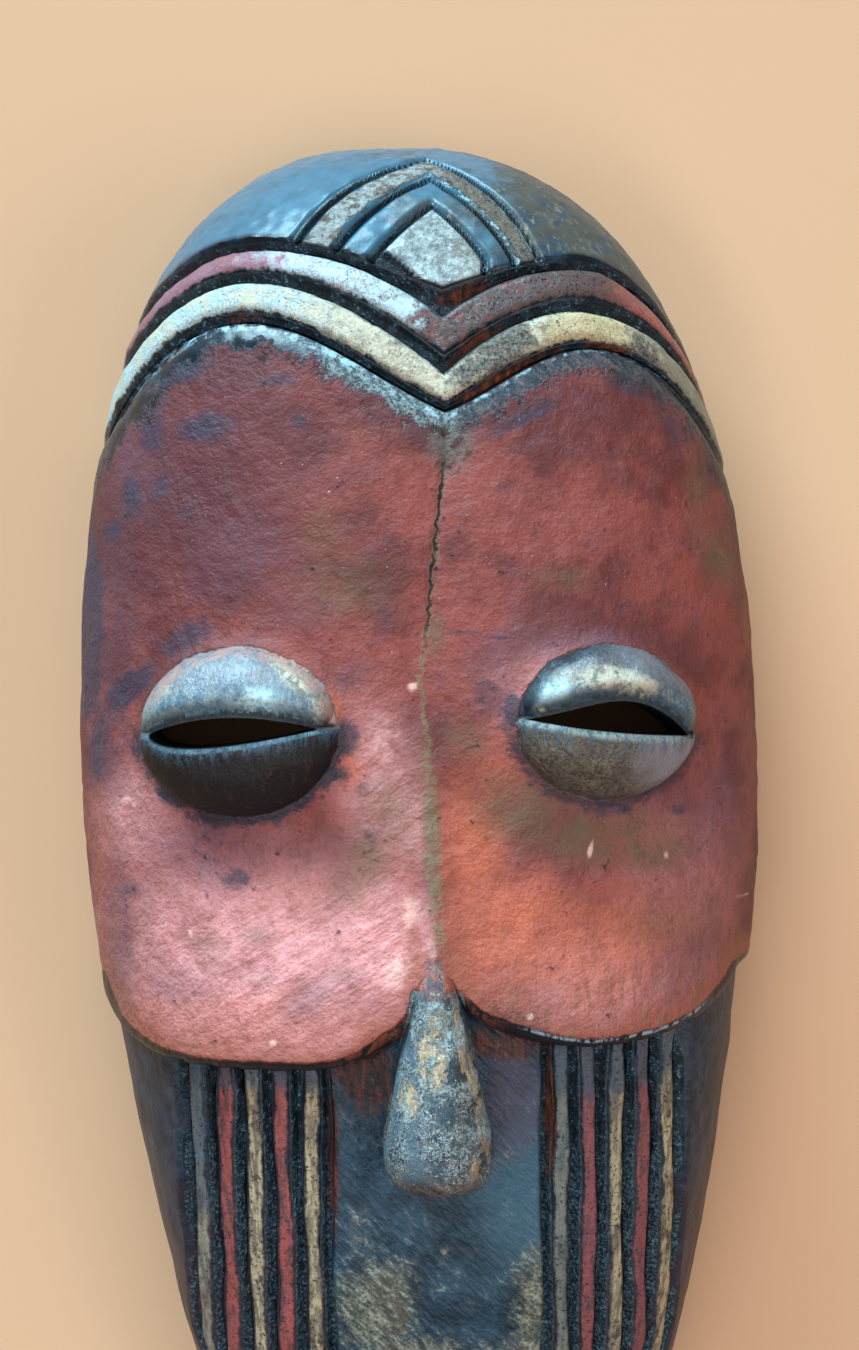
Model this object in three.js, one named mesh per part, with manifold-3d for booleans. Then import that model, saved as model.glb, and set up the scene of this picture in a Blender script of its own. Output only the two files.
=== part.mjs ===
// Carved wooden face mask, lying on its rim with the face up.
// Millimetres; X across the face, Y from chin to crown, Z up from the rim.

import * as THREE from 'three';
import { mergeVertices } from 'three/addons/utils/BufferGeometryUtils.js';
import Module from 'manifold-3d';

const wasm = await Module();
wasm.setup();

// The carved block
const HALF_LENGTH = 180;
const HALF_WIDTH = 82.3;
const WIDEST_Y = 30;
const CREST = 78;
const CROWN_Y = 95;
const LEAN = 1.75;
const CROWN_LEAN = 2.9;
const CROWN_LEAN_Y = 60;
const HEAD_POWER = 2.6;
const OUTLINE_POWER = 2.45;
const CHEEK_TUCK = 6.3;
const CHEEK_REACH = 60;

// The recessed lower face
const LOWER_START_Y = 40;
const LOWER_HALF_WIDTH = 80.6;
const LOWER_CREST = 71;
const JAW_TAPER = { start: 1.475, end: 1 / 2.65 };
const CHIN_DROP = { start: 2.4, end: 1 / 2.2 };

// Carved depths and the hollow back
const GROOVE_DEPTH = 3.5;
const WALL = 10;
const CAVITY_STEP_Y = [-30, 25];
const CAVITY_ROWS = 16;

const RIM_HEIGHT = 6;

// How far cutting shapes reach beyond the block
const REACH = HALF_WIDTH + 2;
const ABOVE_ALL = 120;

// Facets
const COLUMNS = 30;
const BAND_STEPS = 10;
const DOME_SIDES = 20;

// Outline helpers

function clamp01(value) {
  return Math.min(1, Math.max(0, value));
}

function quarterArc(t, power) {
  return Math.pow(Math.max(0, 1 - Math.pow(clamp01(t), power)), 1 / power);
}

function smooth(value, [low, high]) {
  const t = clamp01((value - low) / (high - low));
  return t * t * (3 - 2 * t);
}

// The hand-carved block leans a little to one side towards the crown.
function lean(y) {
  const crown = clamp01((y - CROWN_LEAN_Y) / (HALF_LENGTH - CROWN_LEAN_Y));
  return -LEAN * (y - WIDEST_Y) / HALF_LENGTH - CROWN_LEAN * crown * crown;
}

function upperHalfWidth(y) {
  if (y > WIDEST_Y) {
    return HALF_WIDTH * quarterArc((y - WIDEST_Y) / (HALF_LENGTH - WIDEST_Y), OUTLINE_POWER);
  }
  const tuck = Math.min(1.2, (WIDEST_Y - y) / CHEEK_REACH);
  return HALF_WIDTH - CHEEK_TUCK * tuck * tuck;
}

function upperCrest(y) {
  return CREST * quarterArc((y - CROWN_Y) / (HALF_LENGTH - CROWN_Y), HEAD_POWER);
}

function lowerShare(y) {
  return clamp01((LOWER_START_Y - y) / (LOWER_START_Y + HALF_LENGTH));
}

function lowerHalfWidth(y) {
  return LOWER_HALF_WIDTH * Math.pow(1 - Math.pow(lowerShare(y), JAW_TAPER.start), JAW_TAPER.end);
}

function lowerCrest(y) {
  return LOWER_CREST * Math.pow(1 - Math.pow(lowerShare(y), CHIN_DROP.start), CHIN_DROP.end);
}

// Solids

function solid(geometry) {
  const bare = geometry.index ? geometry : mergeVertices(geometry);
  bare.deleteAttribute('normal');
  bare.deleteAttribute('uv');
  const merged = mergeVertices(bare, 1e-4);
  const corners = merged.index.array;
  const kept = [];
  for (let i = 0; i < corners.length; i += 3) {
    const [a, b, c] = [corners[i], corners[i + 1], corners[i + 2]];
    if (a !== b && b !== c && c !== a) kept.push(a, b, c);
  }
  const mesh = new wasm.Mesh({
    numProp: 3,
    vertProperties: Float32Array.from(merged.attributes.position.array),
    triVerts: Uint32Array.from(kept),
  });
  return new wasm.Manifold(mesh);
}

// A closed grid of rings of equal size, which follow each other towards the chin
function gridSolid(rings) {
  const positions = rings.flat(2);
  const count = rings[0].length;
  const index = [];
  for (let i = 0; i + 1 < rings.length; i += 1) {
    for (let j = 0; j < count; j += 1) {
      const k = (j + 1) % count;
      const [a, b, c, d] = [i * count + j, i * count + k, (i + 1) * count + k, (i + 1) * count + j];
      index.push(a, b, c, a, c, d);
    }
  }
  const last = (rings.length - 1) * count;
  for (let j = 1; j + 1 < count; j += 1) {
    index.push(0, j + 1, j);
    index.push(last, last + j, last + j + 1);
  }
  const geometry = new THREE.BufferGeometry();
  geometry.setAttribute('position', new THREE.Float32BufferAttribute(positions, 3));
  geometry.setIndex(index);
  return solid(geometry);
}

// Where the rings of a head crowd together, as shares of its length from the crown
const crowdedAtCrown = (t) => 1 - Math.cos(Math.PI / 2 * t);
const crowdedAtChin = (t) => Math.sin(Math.PI / 2 * t);
const crowdedAtBoth = (t) => (1 - Math.cos(Math.PI * t)) / 2;

// One half-barrel of the head between two places along Y, with its flat side down
function head({ halfWidth, crest, from, to, rows, spacing, floor = 0 }) {
  const rings = [];
  for (let i = 0; i <= rows; i += 1) {
    const y = to - (to - from) * spacing(i / rows);
    const ring = [[lean(y) + halfWidth(y), y, floor]];
    for (let j = 0; j <= COLUMNS; j += 1) {
      const turn = Math.PI * j / COLUMNS;
      const across = Math.sign(Math.cos(turn)) * Math.pow(Math.abs(Math.cos(turn)), 2 / HEAD_POWER);
      const up = Math.pow(Math.max(0, Math.sin(turn)), 2 / HEAD_POWER);
      ring.push([lean(y) + halfWidth(y) * across, y, crest(y) * up]);
    }
    ring.push([lean(y) - halfWidth(y), y, floor]);
    rings.push(ring);
  }
  return gridSolid(rings);
}

function prism(points, bottom = 0, top = ABOVE_ALL) {
  const shape = new THREE.Shape(points.map(([x, y]) => new THREE.Vector2(x, y)));
  const geometry = new THREE.ExtrudeGeometry(shape, { depth: top - bottom, bevelEnabled: false });
  geometry.translate(0, 0, bottom);
  geometry.deleteAttribute('normal');
  geometry.deleteAttribute('uv');
  return solid(geometry);
}

function union(solids) {
  return solids.reduce((whole, next) => whole.add(next));
}

// The head shrunk towards the middle of its rim by a carved depth
function shrunk(depth) {
  const along = HALF_LENGTH / (HALF_LENGTH - depth);
  return {
    halfWidth: (y) => upperHalfWidth(y * along) * (1 - depth / HALF_WIDTH),
    crest: (y) => upperCrest(y * along) * (1 - depth / CREST),
    to: HALF_LENGTH - depth,
  };
}

const upperRows = { rows: 18, spacing: crowdedAtCrown };
const lowerRows = { from: -HALF_LENGTH, to: 20, rows: 13, spacing: crowdedAtChin };
const upperHead = head({
  halfWidth: upperHalfWidth,
  crest: upperCrest,
  from: -40,
  to: HALF_LENGTH,
  ...upperRows,
});
const upperCore = head({ ...shrunk(GROOVE_DEPTH), from: 0, ...upperRows });
const lowerHead = head({ halfWidth: lowerHalfWidth, crest: lowerCrest, ...lowerRows });
const lowerCore = head({
  halfWidth: (y) => Math.max(0, lowerHalfWidth(y) - GROOVE_DEPTH),
  crest: (y) => Math.max(0, lowerCrest(y) - GROOVE_DEPTH),
  ...lowerRows,
});

// Brow bands: each edge climbs from a notch to a peak on each side and then falls away.
// A side has its rise, its first slope as a share of an even climb, and its fall.
const NOTCH_X = 4.3;
const LEFT_PEAK = 44.5;
const RIGHT_PEAK = 33;
const LAST_PAST = 1.15;
const plateEdge = { notch: 108.4, left: [21.2, 0.95, 37], right: [14.6, 0.8, 20] };
const whiteLow = { notch: 110.4, left: [21.7, 1.05, 37], right: [14.2, 1.35, 20] };
const whiteHigh = { notch: 116.6, left: [22.1, 1.7, 34.5], right: [14.7, 2.1, 19] };
const redLow = { notch: 120.8, left: [20.7, 1.8, 32], right: [13.8, 1.75, 20.5] };
const redHigh = { notch: 129.2, left: [17.2, 2.1, 34], right: [12.2, 2.1, 25] };
const crownEdge = { notch: 135.5, left: [13.5, 1.3, 34], right: [8.3, 1.3, 25] };

function bandY({ notch, left, right }, x) {
  const away = Math.abs(x - NOTCH_X) / (x < NOTCH_X ? LEFT_PEAK : RIGHT_PEAK);
  const [rise, start, fall] = x < NOTCH_X ? left : right;
  if (away < 1) return notch + rise * away * (start + (3 - 2 * start) * away + (start - 2) * away * away);
  const past = Math.min(away - 1, LAST_PAST);
  return notch + rise - fall * past * past;
}

function bandLine(edge) {
  const line = [];
  for (let i = -BAND_STEPS; i <= BAND_STEPS; i += 1) {
    const share = i / BAND_STEPS;
    const side = share < 0 ? REACH + NOTCH_X : REACH - NOTCH_X;
    const x = NOTCH_X + share * side;
    line.push([x, bandY(edge, x)]);
  }
  return line;
}

function band(low, high) {
  return prism([...bandLine(low), ...bandLine(high).reverse()]);
}

// Face plate: two rounded lobes meet at the nose.
const LOBE_STEPS = 12;
const leftLobe = { x: -40, y: -12.5, across: 36, down: 18.7, power: 2.9 };
const rightLobe = { x: 37, y: -11.5, across: 33.5, down: 16.3, power: 2.1 };
const LEFT_CORNER_Y = -18;
const RIGHT_CORNER_Y = -15.5;

function lobeLine({ x, y, across, down, power }) {
  const line = [];
  for (let i = 0; i <= LOBE_STEPS; i += 1) {
    const turn = Math.PI * (1 - i / LOBE_STEPS);
    const side = Math.sign(Math.cos(turn)) * Math.pow(Math.abs(Math.cos(turn)), 2 / power);
    const drop = Math.pow(Math.max(0, Math.sin(turn)), 2 / power);
    line.push([x + across * side, y - down * drop]);
  }
  return line;
}

function plateOutline() {
  const left = lobeLine(leftLobe).slice(1);
  const right = lobeLine(rightLobe).slice(0, -1);
  return [
    [-REACH, LEFT_CORNER_Y],
    ...left,
    ...right,
    [REACH, RIGHT_CORNER_Y],
    ...bandLine(plateEdge).reverse(),
  ];
}

// Crown: nested chevrons round a kite, cut by grooves that end at the crown's lower edge.
const KITE = { x: 3, y: 142.2 };
const chevronGrooves = [[12.8, 14.9], [22, 24.2], [31.5, 33.8]];
const RIGHT_DRAWN = { share: 0.143, growth: 0.0115 };
const CHEVRON_STEPS = 5;
const CHEVRON_STRETCH = 1.12;
const CHEVRON_BULGE = 0.005;
const CHEVRON_FOOT_Y = KITE.y - 14;

// Place along Y of a length measured over the crown's curve from the kite's widest row
function overCrown(length) {
  const step = 0.25;
  let y = KITE.y;
  let run = 0;
  while (run < length && y < HALF_LENGTH - 1) {
    run += Math.hypot(step, upperCrest(y + step) - upperCrest(y));
    y += step;
  }
  return y;
}

// Half-width of a chevron before it is drawn in towards its right foot
function undrawn(size, share) {
  if (share <= 0) return size;
  const linear = 1 + RIGHT_DRAWN.share * share;
  const square = RIGHT_DRAWN.growth * share;
  return (Math.sqrt(linear * linear + 4 * square * size) - linear) / (2 * square);
}

function chevronLine(size) {
  const line = [[KITE.x - size, CHEVRON_FOOT_Y]];
  for (let i = -CHEVRON_STEPS; i <= CHEVRON_STEPS; i += 1) {
    const share = i / CHEVRON_STEPS;
    const reach = undrawn(size, share);
    const bulge = 1 + CHEVRON_BULGE * reach * Math.sin(Math.PI * Math.abs(share));
    const height = reach * CHEVRON_STRETCH * (1 - Math.abs(share)) * bulge;
    line.push([KITE.x + reach * share * bulge, overCrown(height)]);
  }
  line.push([KITE.x + undrawn(size, 1), CHEVRON_FOOT_Y]);
  return line;
}

function chevronGroove([inner, outer]) {
  return prism([...chevronLine(outer), ...chevronLine(inner).reverse()]);
}

function crownLand() {
  const land = prism([...bandLine(crownEdge), [REACH, HALF_LENGTH + 2], [-REACH, HALF_LENGTH + 2]]);
  return chevronGrooves.reduce((left, groove) => left.subtract(chevronGroove(groove)), land);
}

// Lower face: ribs beside a plain centre, drawn in with the jaw further down
const RIB_COUNT = 5;
const FIRST_RIB = 27.2;
const RIB_PITCH = 6.35;
const RIB_WIDTH = 3.6;
const JAW_Y = -100;
const RIB_END_Y = -160;
const RIB_TOP_Y = 19;
const RIB_STEPS = 5;

function jawLine(x) {
  const line = [[x, RIB_TOP_Y]];
  for (let i = 0; i <= RIB_STEPS; i += 1) {
    const y = JAW_Y + (RIB_END_Y - JAW_Y) * i / RIB_STEPS;
    line.push([x * lowerHalfWidth(y) / lowerHalfWidth(JAW_Y), y]);
  }
  return line;
}

function ribGrooves() {
  const gap = RIB_PITCH - RIB_WIDTH;
  const grooves = [];
  for (const side of [-1, 1]) {
    for (let i = 0; i <= RIB_COUNT; i += 1) {
      const middle = side * (FIRST_RIB + RIB_PITCH * (i - 0.5));
      grooves.push(prism([...jawLine(middle - gap / 2), ...jawLine(middle + gap / 2).reverse()], RIM_HEIGHT));
    }
  }
  return union(grooves);
}

// Eyes and mouth: domes of two lids with a slanting slit between them
const leftEye = { x: -41, y: 41.5, z: 71, across: 22, along: 18.2, rise: 12, tilt: -0.3 };
const rightEye = { x: 38, y: 42, z: 72, across: 20.5, along: 16.6, rise: 11.5, tilt: 0.27 };
const mouth = { x: -1, y: -127, z: 48, across: 17, along: 8, rise: 7, tilt: 0 };
const leftSlit = { from: [-60, 41.2], to: [-24, 41.9], up: [3.1, 0.9], down: [3.2, 0.55] };
const rightSlit = { from: [19.8, 43.2], to: [55.6, 38.7], up: [6, 1.3], down: [0.9, 0.9] };
const mouthSlit = { from: [-15, -127], to: [13, -127], up: [1.2, 1], down: [1.2, 1] };
const SLIT_FULLNESS = 0.85;
const SLIT_STEPS = 6;
const EYE_CUT_Z = 40;
const MOUTH_CUT_Z = 50;

function dome({ x, y, z, across, along, rise, tilt }) {
  const geometry = new THREE.SphereGeometry(1, DOME_SIDES, DOME_SIDES / 2);
  geometry.scale(across, along, rise);
  geometry.rotateY(tilt);
  geometry.translate(x, y, z);
  return solid(geometry);
}

// How far a lid stands off the slit's line, with its fullest place moved along by a skew
function opening([most, skew], share) {
  return most * Math.pow(Math.max(0, Math.sin(Math.PI * Math.pow(share, skew))), SLIT_FULLNESS);
}

function slit({ from, to, up, down }, bottom) {
  const [ax, ay] = from;
  const [bx, by] = to;
  const upper = [];
  const lower = [];
  for (let i = 0; i <= SLIT_STEPS; i += 1) {
    const share = i / SLIT_STEPS;
    const x = ax + (bx - ax) * share;
    const y = ay + (by - ay) * share;
    lower.push([x, y - opening(down, share)]);
    if (i > 0 && i < SLIT_STEPS) upper.push([x, y + opening(up, share)]);
  }
  return prism([...lower, ...upper.reverse()], bottom);
}

// Nose: a teardrop hanging from the notch between the lobes
const NOSE_RINGS = 10;
const NOSE_SIDES = 14;
const NOSE_TOP_Y = -4;
const NOSE_X = 0.1;
const NOSE_LENGTH = 54;
const NOSE_HALF_WIDTH = 11.8;
const NOSE_NECK = 0.42;
const NOSE_ROUND_FROM = 0.8;
const NOSE_ROUND_POWER = 3;
const NOSE_TOP = { start: 79, rise: 14, drop: 9, sunk: 6 };
const NOSE_DEPTH = { start: 11, growth: 3 };

function noseHalfWidth(share) {
  const neck = NOSE_NECK * smooth(share, [-0.05, 0.2]);
  const spread = (1 - NOSE_NECK) * clamp01((share - 0.15) / 0.65);
  const tip = quarterArc((share - NOSE_ROUND_FROM) / (1 - NOSE_ROUND_FROM), NOSE_ROUND_POWER);
  return NOSE_HALF_WIDTH * (neck + spread) * tip;
}

function nose() {
  const rings = [];
  for (let i = 0; i <= NOSE_RINGS; i += 1) {
    const share = Math.sin((Math.PI / 2) * i / NOSE_RINGS);
    const width = noseHalfWidth(share);
    const deep = NOSE_DEPTH.start + NOSE_DEPTH.growth * share;
    const sunk = NOSE_TOP.sunk * (1 - smooth(share, [-0.05, 0.2]));
    const top = NOSE_TOP.start + NOSE_TOP.rise * share - NOSE_TOP.drop * Math.pow(share, 5) - sunk;
    const tip = i === NOSE_RINGS ? 0 : 1;
    const ring = [];
    for (let j = 0; j < NOSE_SIDES; j += 1) {
      const turn = 2 * Math.PI * j / NOSE_SIDES;
      ring.push([
        NOSE_X + width * Math.cos(turn) * tip,
        NOSE_TOP_Y - NOSE_LENGTH * share,
        top - deep + deep * Math.sin(turn) * tip,
      ]);
    }
    rings.push(ring);
  }
  return gridSolid(rings);
}

// Hollow back
function cavity() {
  const inner = shrunk(WALL);
  const along = HALF_LENGTH / inner.to;
  return head({
    halfWidth: (y) => Math.min(inner.halfWidth(y), lowerHalfWidth(y * along) * (1 - WALL / LOWER_HALF_WIDTH)),
    crest: (y) => {
      const low = lowerCrest(y * along) * (1 - WALL / LOWER_CREST) - GROOVE_DEPTH;
      const high = inner.crest(y) - GROOVE_DEPTH;
      return Math.max(0, low + (high - low) * smooth(y, CAVITY_STEP_Y));
    },
    from: -inner.to,
    to: inner.to,
    rows: CAVITY_ROWS,
    spacing: crowdedAtBoth,
    floor: -2,
  });
}

function carveMask() {
  const brow = union([
    prism(plateOutline()),
    prism(bandLine(plateEdge).concat([[REACH, HALF_LENGTH], [-REACH, HALF_LENGTH]]), 0, RIM_HEIGHT),
    band(whiteLow, whiteHigh),
    band(redLow, redHigh),
    crownLand(),
  ]);
  const upper = upperCore.add(upperHead.intersect(brow));
  const lower = lowerCore.add(lowerHead.subtract(ribGrooves()));
  const features = union([dome(leftEye), dome(rightEye), dome(mouth), nose()]);
  return upper
    .add(lower)
    .add(features)
    .subtract(cavity())
    .subtract(slit(leftSlit, EYE_CUT_Z))
    .subtract(slit(rightSlit, EYE_CUT_Z))
    .subtract(slit(mouthSlit, MOUTH_CUT_Z));
}

function meshOf(shape, name, material) {
  const { vertProperties, triVerts } = shape.getMesh();
  const geometry = new THREE.BufferGeometry();
  geometry.setAttribute('position', new THREE.Float32BufferAttribute(vertProperties, 3));
  geometry.setIndex(Array.from(triVerts));
  geometry.computeVertexNormals();
  const mesh = new THREE.Mesh(geometry, material);
  mesh.name = name;
  return mesh;
}

const paintedWood = new THREE.MeshStandardMaterial({ color: 0x7d3f38, roughness: 0.5, metalness: 0 });

const group = new THREE.Group();
group.add(meshOf(carveMask(), 'mask', paintedWood));

export default group;
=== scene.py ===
# Carved wooden face mask with worn paint, lying face up on a pale floor.

import math

import bmesh
import bpy
import numpy as np
from mathutils import Matrix, Vector


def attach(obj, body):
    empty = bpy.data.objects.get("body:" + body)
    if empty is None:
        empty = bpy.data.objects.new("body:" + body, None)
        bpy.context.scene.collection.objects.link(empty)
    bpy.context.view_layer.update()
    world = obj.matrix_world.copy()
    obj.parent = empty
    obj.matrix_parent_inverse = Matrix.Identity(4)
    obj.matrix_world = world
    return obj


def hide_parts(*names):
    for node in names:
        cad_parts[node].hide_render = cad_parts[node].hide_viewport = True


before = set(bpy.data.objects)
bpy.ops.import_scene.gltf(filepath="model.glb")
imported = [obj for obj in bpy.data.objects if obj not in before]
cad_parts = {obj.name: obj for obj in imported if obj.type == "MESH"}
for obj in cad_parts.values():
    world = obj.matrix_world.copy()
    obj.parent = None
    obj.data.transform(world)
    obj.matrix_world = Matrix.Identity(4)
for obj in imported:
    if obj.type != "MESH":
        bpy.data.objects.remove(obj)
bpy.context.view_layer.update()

# The carved block, in millimetres

HALF_LENGTH = 180
HALF_WIDTH = 82.3
WIDEST_Y = 30
CREST = 78
CROWN_Y = 95
LEAN = 1.75
CROWN_LEAN = 2.9
CROWN_LEAN_Y = 60
HEAD_POWER = 2.6
OUTLINE_POWER = 2.45
CHEEK_TUCK = 6.3
CHEEK_REACH = 60
LOWER_START_Y = 40
LOWER_HALF_WIDTH = 80.6
LOWER_CREST = 71
LOWER_OUTLINE_POWERS = (1.475, 2.65)
LOWER_CREST_POWERS = (2.4, 2.2)
JAW_Y = -100
GROOVE_DEPTH = 3.5
WALL = 10
RIM_HEIGHT = 6
SLOPE_GAP = 0.05


def smooth(value, low, high):
    share = np.clip((value - low) / (high - low), 0, 1)
    return share * share * (3 - 2 * share)


def bump(value, middle, reach):
    return np.exp(-(((value - middle) / reach) ** 2))


def arc(share, power):
    """A superellipse's height at a share of its half-width."""
    return np.maximum(0, 1 - np.clip(share, 0, 1) ** power) ** (1 / power)


def slope(curve, place, gap):
    """Slope of a curve, taken over a gap to each side."""
    return (curve(place + gap) - curve(place - gap)) / (2 * gap)


def lean(y):
    """X of the mask's middle at Y."""
    crown = np.clip((y - CROWN_LEAN_Y) / (HALF_LENGTH - CROWN_LEAN_Y), 0, 1)
    return -LEAN * (y - WIDEST_Y) / HALF_LENGTH - CROWN_LEAN * crown**2


def upper_half_width(y):
    crown = HALF_WIDTH * arc((y - WIDEST_Y) / (HALF_LENGTH - WIDEST_Y), OUTLINE_POWER)
    tuck = np.clip((WIDEST_Y - y) / CHEEK_REACH, 0, 1.2)
    return crown - CHEEK_TUCK * tuck**2


def upper_crest(y):
    return CREST * arc((y - CROWN_Y) / (HALF_LENGTH - CROWN_Y), HEAD_POWER)


def lower_fall(y, start, end):
    """Share of the full size that is left at Y on the way to the chin."""
    share = np.clip((LOWER_START_Y - y) / (LOWER_START_Y + HALF_LENGTH), 0, 1)
    return (1 - share**start) ** (1 / end)


def lower_half_width(y):
    return LOWER_HALF_WIDTH * lower_fall(y, *LOWER_OUTLINE_POWERS)


def lower_crest(y):
    return LOWER_CREST * lower_fall(y, *LOWER_CREST_POWERS)


UPPER = (upper_half_width, upper_crest)
LOWER = (lower_half_width, lower_crest)


def height(head, x, y):
    """Z of a head's surface."""
    width, crest = head
    reach = np.abs(x - lean(y)) / np.maximum(width(y), 0.01)
    return crest(y) * arc(reach, HEAD_POWER)


def outward(head, x, y, z):
    """Unit vectors that point out of a head at places on it."""
    width, crest = head
    y = np.clip(y, -HALF_LENGTH + 0.2, HALF_LENGTH - 0.2)
    wide = np.maximum(width(y), 0.5)
    high = np.maximum(crest(y), 0.5)
    wide_slope = slope(width, y, SLOPE_GAP)
    high_slope = slope(crest, y, SLOPE_GAP)
    lean_slope = slope(lean, y, SLOPE_GAP)
    side = x - lean(y)
    reach = np.clip(np.abs(side) / wide, 0, 1)
    rise = np.clip(z / high, 0, 1)
    across = np.sign(side) * reach ** (HEAD_POWER - 1) / wide
    up = rise ** (HEAD_POWER - 1) / high
    along = -(reach**HEAD_POWER) * wide_slope / wide - rise**HEAD_POWER * high_slope / high
    along = along - across * lean_slope
    arrows = np.stack([across, along, up], axis=-1)
    return arrows / np.maximum(np.linalg.norm(arrows, axis=-1, keepdims=True), 1e-9)


# Waves: gentle unevenness of handwork, the same on every run


def waves(points, size, seed, count=24):
    """A smooth wandering value near -1 to 1 at each point, with bumps about size apart."""
    chance = np.random.default_rng(seed)
    turns = chance.normal(size=(count, 3)) * 2.4 / size
    starts = chance.uniform(0, 2 * math.pi, count)
    total = np.zeros(points.shape[:-1])
    for turn, start in zip(turns, starts):
        total += np.sin(points @ turn + start)
    return total * math.sqrt(2 / count) * 0.7


# Brow bands

NOTCH_X = 4.3
LEFT_PEAK = 44.5
RIGHT_PEAK = 33
LAST_PAST = 1.15
PLATE_EDGE = {"notch": 108.4, "left": (21.2, 0.95, 37), "right": (14.6, 0.8, 20)}
WHITE_LOW = {"notch": 110.4, "left": (21.7, 1.05, 37), "right": (14.2, 1.35, 20)}
WHITE_HIGH = {"notch": 116.6, "left": (22.1, 1.7, 34.5), "right": (14.7, 2.1, 19)}
RED_LOW = {"notch": 120.8, "left": (20.7, 1.8, 32), "right": (13.8, 1.75, 20.5)}
RED_HIGH = {"notch": 129.2, "left": (17.2, 2.1, 34), "right": (12.2, 2.1, 25)}
CROWN_EDGE = {"notch": 135.5, "left": (13.5, 1.3, 34), "right": (8.3, 1.3, 25)}
BAND_EDGES = [PLATE_EDGE, WHITE_LOW, WHITE_HIGH, RED_LOW, RED_HIGH, CROWN_EDGE]


def band_y(edge, x):
    """An edge climbs from the notch to a peak on each side, and then falls away."""
    left = x < NOTCH_X
    away = np.abs(x - NOTCH_X) / np.where(left, LEFT_PEAK, RIGHT_PEAK)
    rise, start, fall = [np.where(left, a, b) for a, b in zip(edge["left"], edge["right"])]
    climb = start * away + (3 - 2 * start) * away**2 + (start - 2) * away**3
    past = np.clip(away - 1, 0, LAST_PAST)
    return edge["notch"] + np.where(away < 1, rise * climb, rise - fall * past**2)


def edge_line(edge):
    return lambda x: band_y(edge, x)


def upright(edge, x):
    """How much a band edge's slope shortens a distance along Y."""
    return 1 / np.sqrt(1 + slope(edge_line(edge), x, 0.5) ** 2)


# Lower edge of the face plate

LEFT_LOBE = {"x": -40, "y": -12.5, "across": 36, "down": 18.7, "power": 2.9}
RIGHT_LOBE = {"x": 37, "y": -11.5, "across": 33.5, "down": 16.3, "power": 2.1}
LEFT_CORNER_Y = -18
RIGHT_CORNER_Y = -15.5
LIP = 3.2
CHEEK_LIP = 3.4
RIGHT_LIP = 1.6
NARROWED_LIP = 0.7


def lobe_y(lobe, x):
    share = np.abs(x - lobe["x"]) / lobe["across"]
    return lobe["y"] - lobe["down"] * arc(share, lobe["power"])


def ledge_samples():
    x = np.linspace(-95, 95, 1901)
    y = np.minimum(lobe_y(LEFT_LOBE, x), lobe_y(RIGHT_LOBE, x))
    y = np.where(x < -60, np.minimum(y, LEFT_CORNER_Y), y)
    y = np.where(x > 60, np.minimum(y, RIGHT_CORNER_Y), y)
    kernel = bump(np.linspace(-3, 3, 61), 0, 1.1)
    padded = np.pad(y, 30, mode="edge")
    return x, np.convolve(padded, kernel / kernel.sum(), mode="valid")


LEDGE_X, LEDGE_Y = ledge_samples()


def ledge_y(x):
    return np.interp(x, LEDGE_X, LEDGE_Y)


def lip(x):
    """How far the rounding of the ledge's edge reaches up the plate, most of all beside the nose."""
    wide = LIP + CHEEK_LIP * bump(x, -12, 5.5) + RIGHT_LIP * bump(x, 16, 10)
    return wide * (1 - NARROWED_LIP * bump(x, -0.5, 4))


# Crown: nested chevrons round a kite

KITE_X = 3
KITE_Y = 142.2
CHEVRON_GROOVES = [(12.5, 15.1), (21.7, 24.4), (31.3, 34)]
CHEVRON_STRETCH = 1.12
CHEVRON_BULGE = 0.005
RIGHT_DRAWN = 0.143
RIGHT_DRAWN_WIDER = 0.0115
CROWN_RUN_Y = np.linspace(KITE_Y, HALF_LENGTH, 400)
CROWN_STEPS = np.hypot(np.diff(CROWN_RUN_Y), np.diff(upper_crest(CROWN_RUN_Y)))
CROWN_RUN = np.concatenate([[0], np.cumsum(CROWN_STEPS)])


def chevron_size(x, y):
    """Half-width of the chevron that passes through each place, drawn in on the right."""
    side = np.abs(x - KITE_X)
    run = np.where(y > KITE_Y, np.interp(y, CROWN_RUN_Y, CROWN_RUN), 0)
    whole = side + run / CHEVRON_STRETCH
    share = side / np.maximum(whole, 1e-6)
    bulge = CHEVRON_BULGE * np.sin(math.pi * share)
    bent = (np.sqrt(1 + 4 * bulge * whole) - 1) / np.maximum(2 * bulge, 1e-9)
    size = np.where(bulge > 1e-6, bent, whole)
    drawn = np.where(x > KITE_X, share * (RIGHT_DRAWN + RIGHT_DRAWN_WIDER * size), 0)
    return size * (1 + drawn)


# Ribs of the lower face

RIB_COUNT = 5
FIRST_RIB = 27.2
RIB_PITCH = 6.35
RIB_WIDTH = 3.6
RIB_END_Y = -158
INNER_SPAN = 55.5


def inner_span(y):
    jaw = INNER_SPAN * np.minimum(1, lower_half_width(np.minimum(y, JAW_Y)) / lower_half_width(JAW_Y))
    return np.minimum(jaw, 0.72 * upper_half_width(np.maximum(y, 0)))


def inner_lean(y):
    return lean(y) * np.maximum(smooth(y, 40, 110), smooth(-y, 120, 170))


def rib_place(x, y):
    """X across the ribs as if the jaw didn't draw them in, with the knife's small wanderings."""
    place = (x - inner_lean(y)) * INNER_SPAN / np.maximum(inner_span(y), 1)
    order = place / RIB_PITCH
    wander = 0.3 * np.sin(y / 8.5 + 2.3 * order) + 0.18 * np.sin(y / 3.7 + 4.1 * order)
    return place + wander * smooth(np.abs(place), 18, 24)


def nearest_rib(place):
    return np.clip(np.round((place - FIRST_RIB) / RIB_PITCH), 0, RIB_COUNT - 1)


def rib_distance(x, y):
    """Distance inside the nearest rib, negative in the grooves and beside the ribs."""
    place = np.abs(rib_place(x, y))
    return RIB_WIDTH / 2 - np.abs(place - FIRST_RIB - RIB_PITCH * nearest_rib(place))


# Carved depth below the block's surface


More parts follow.
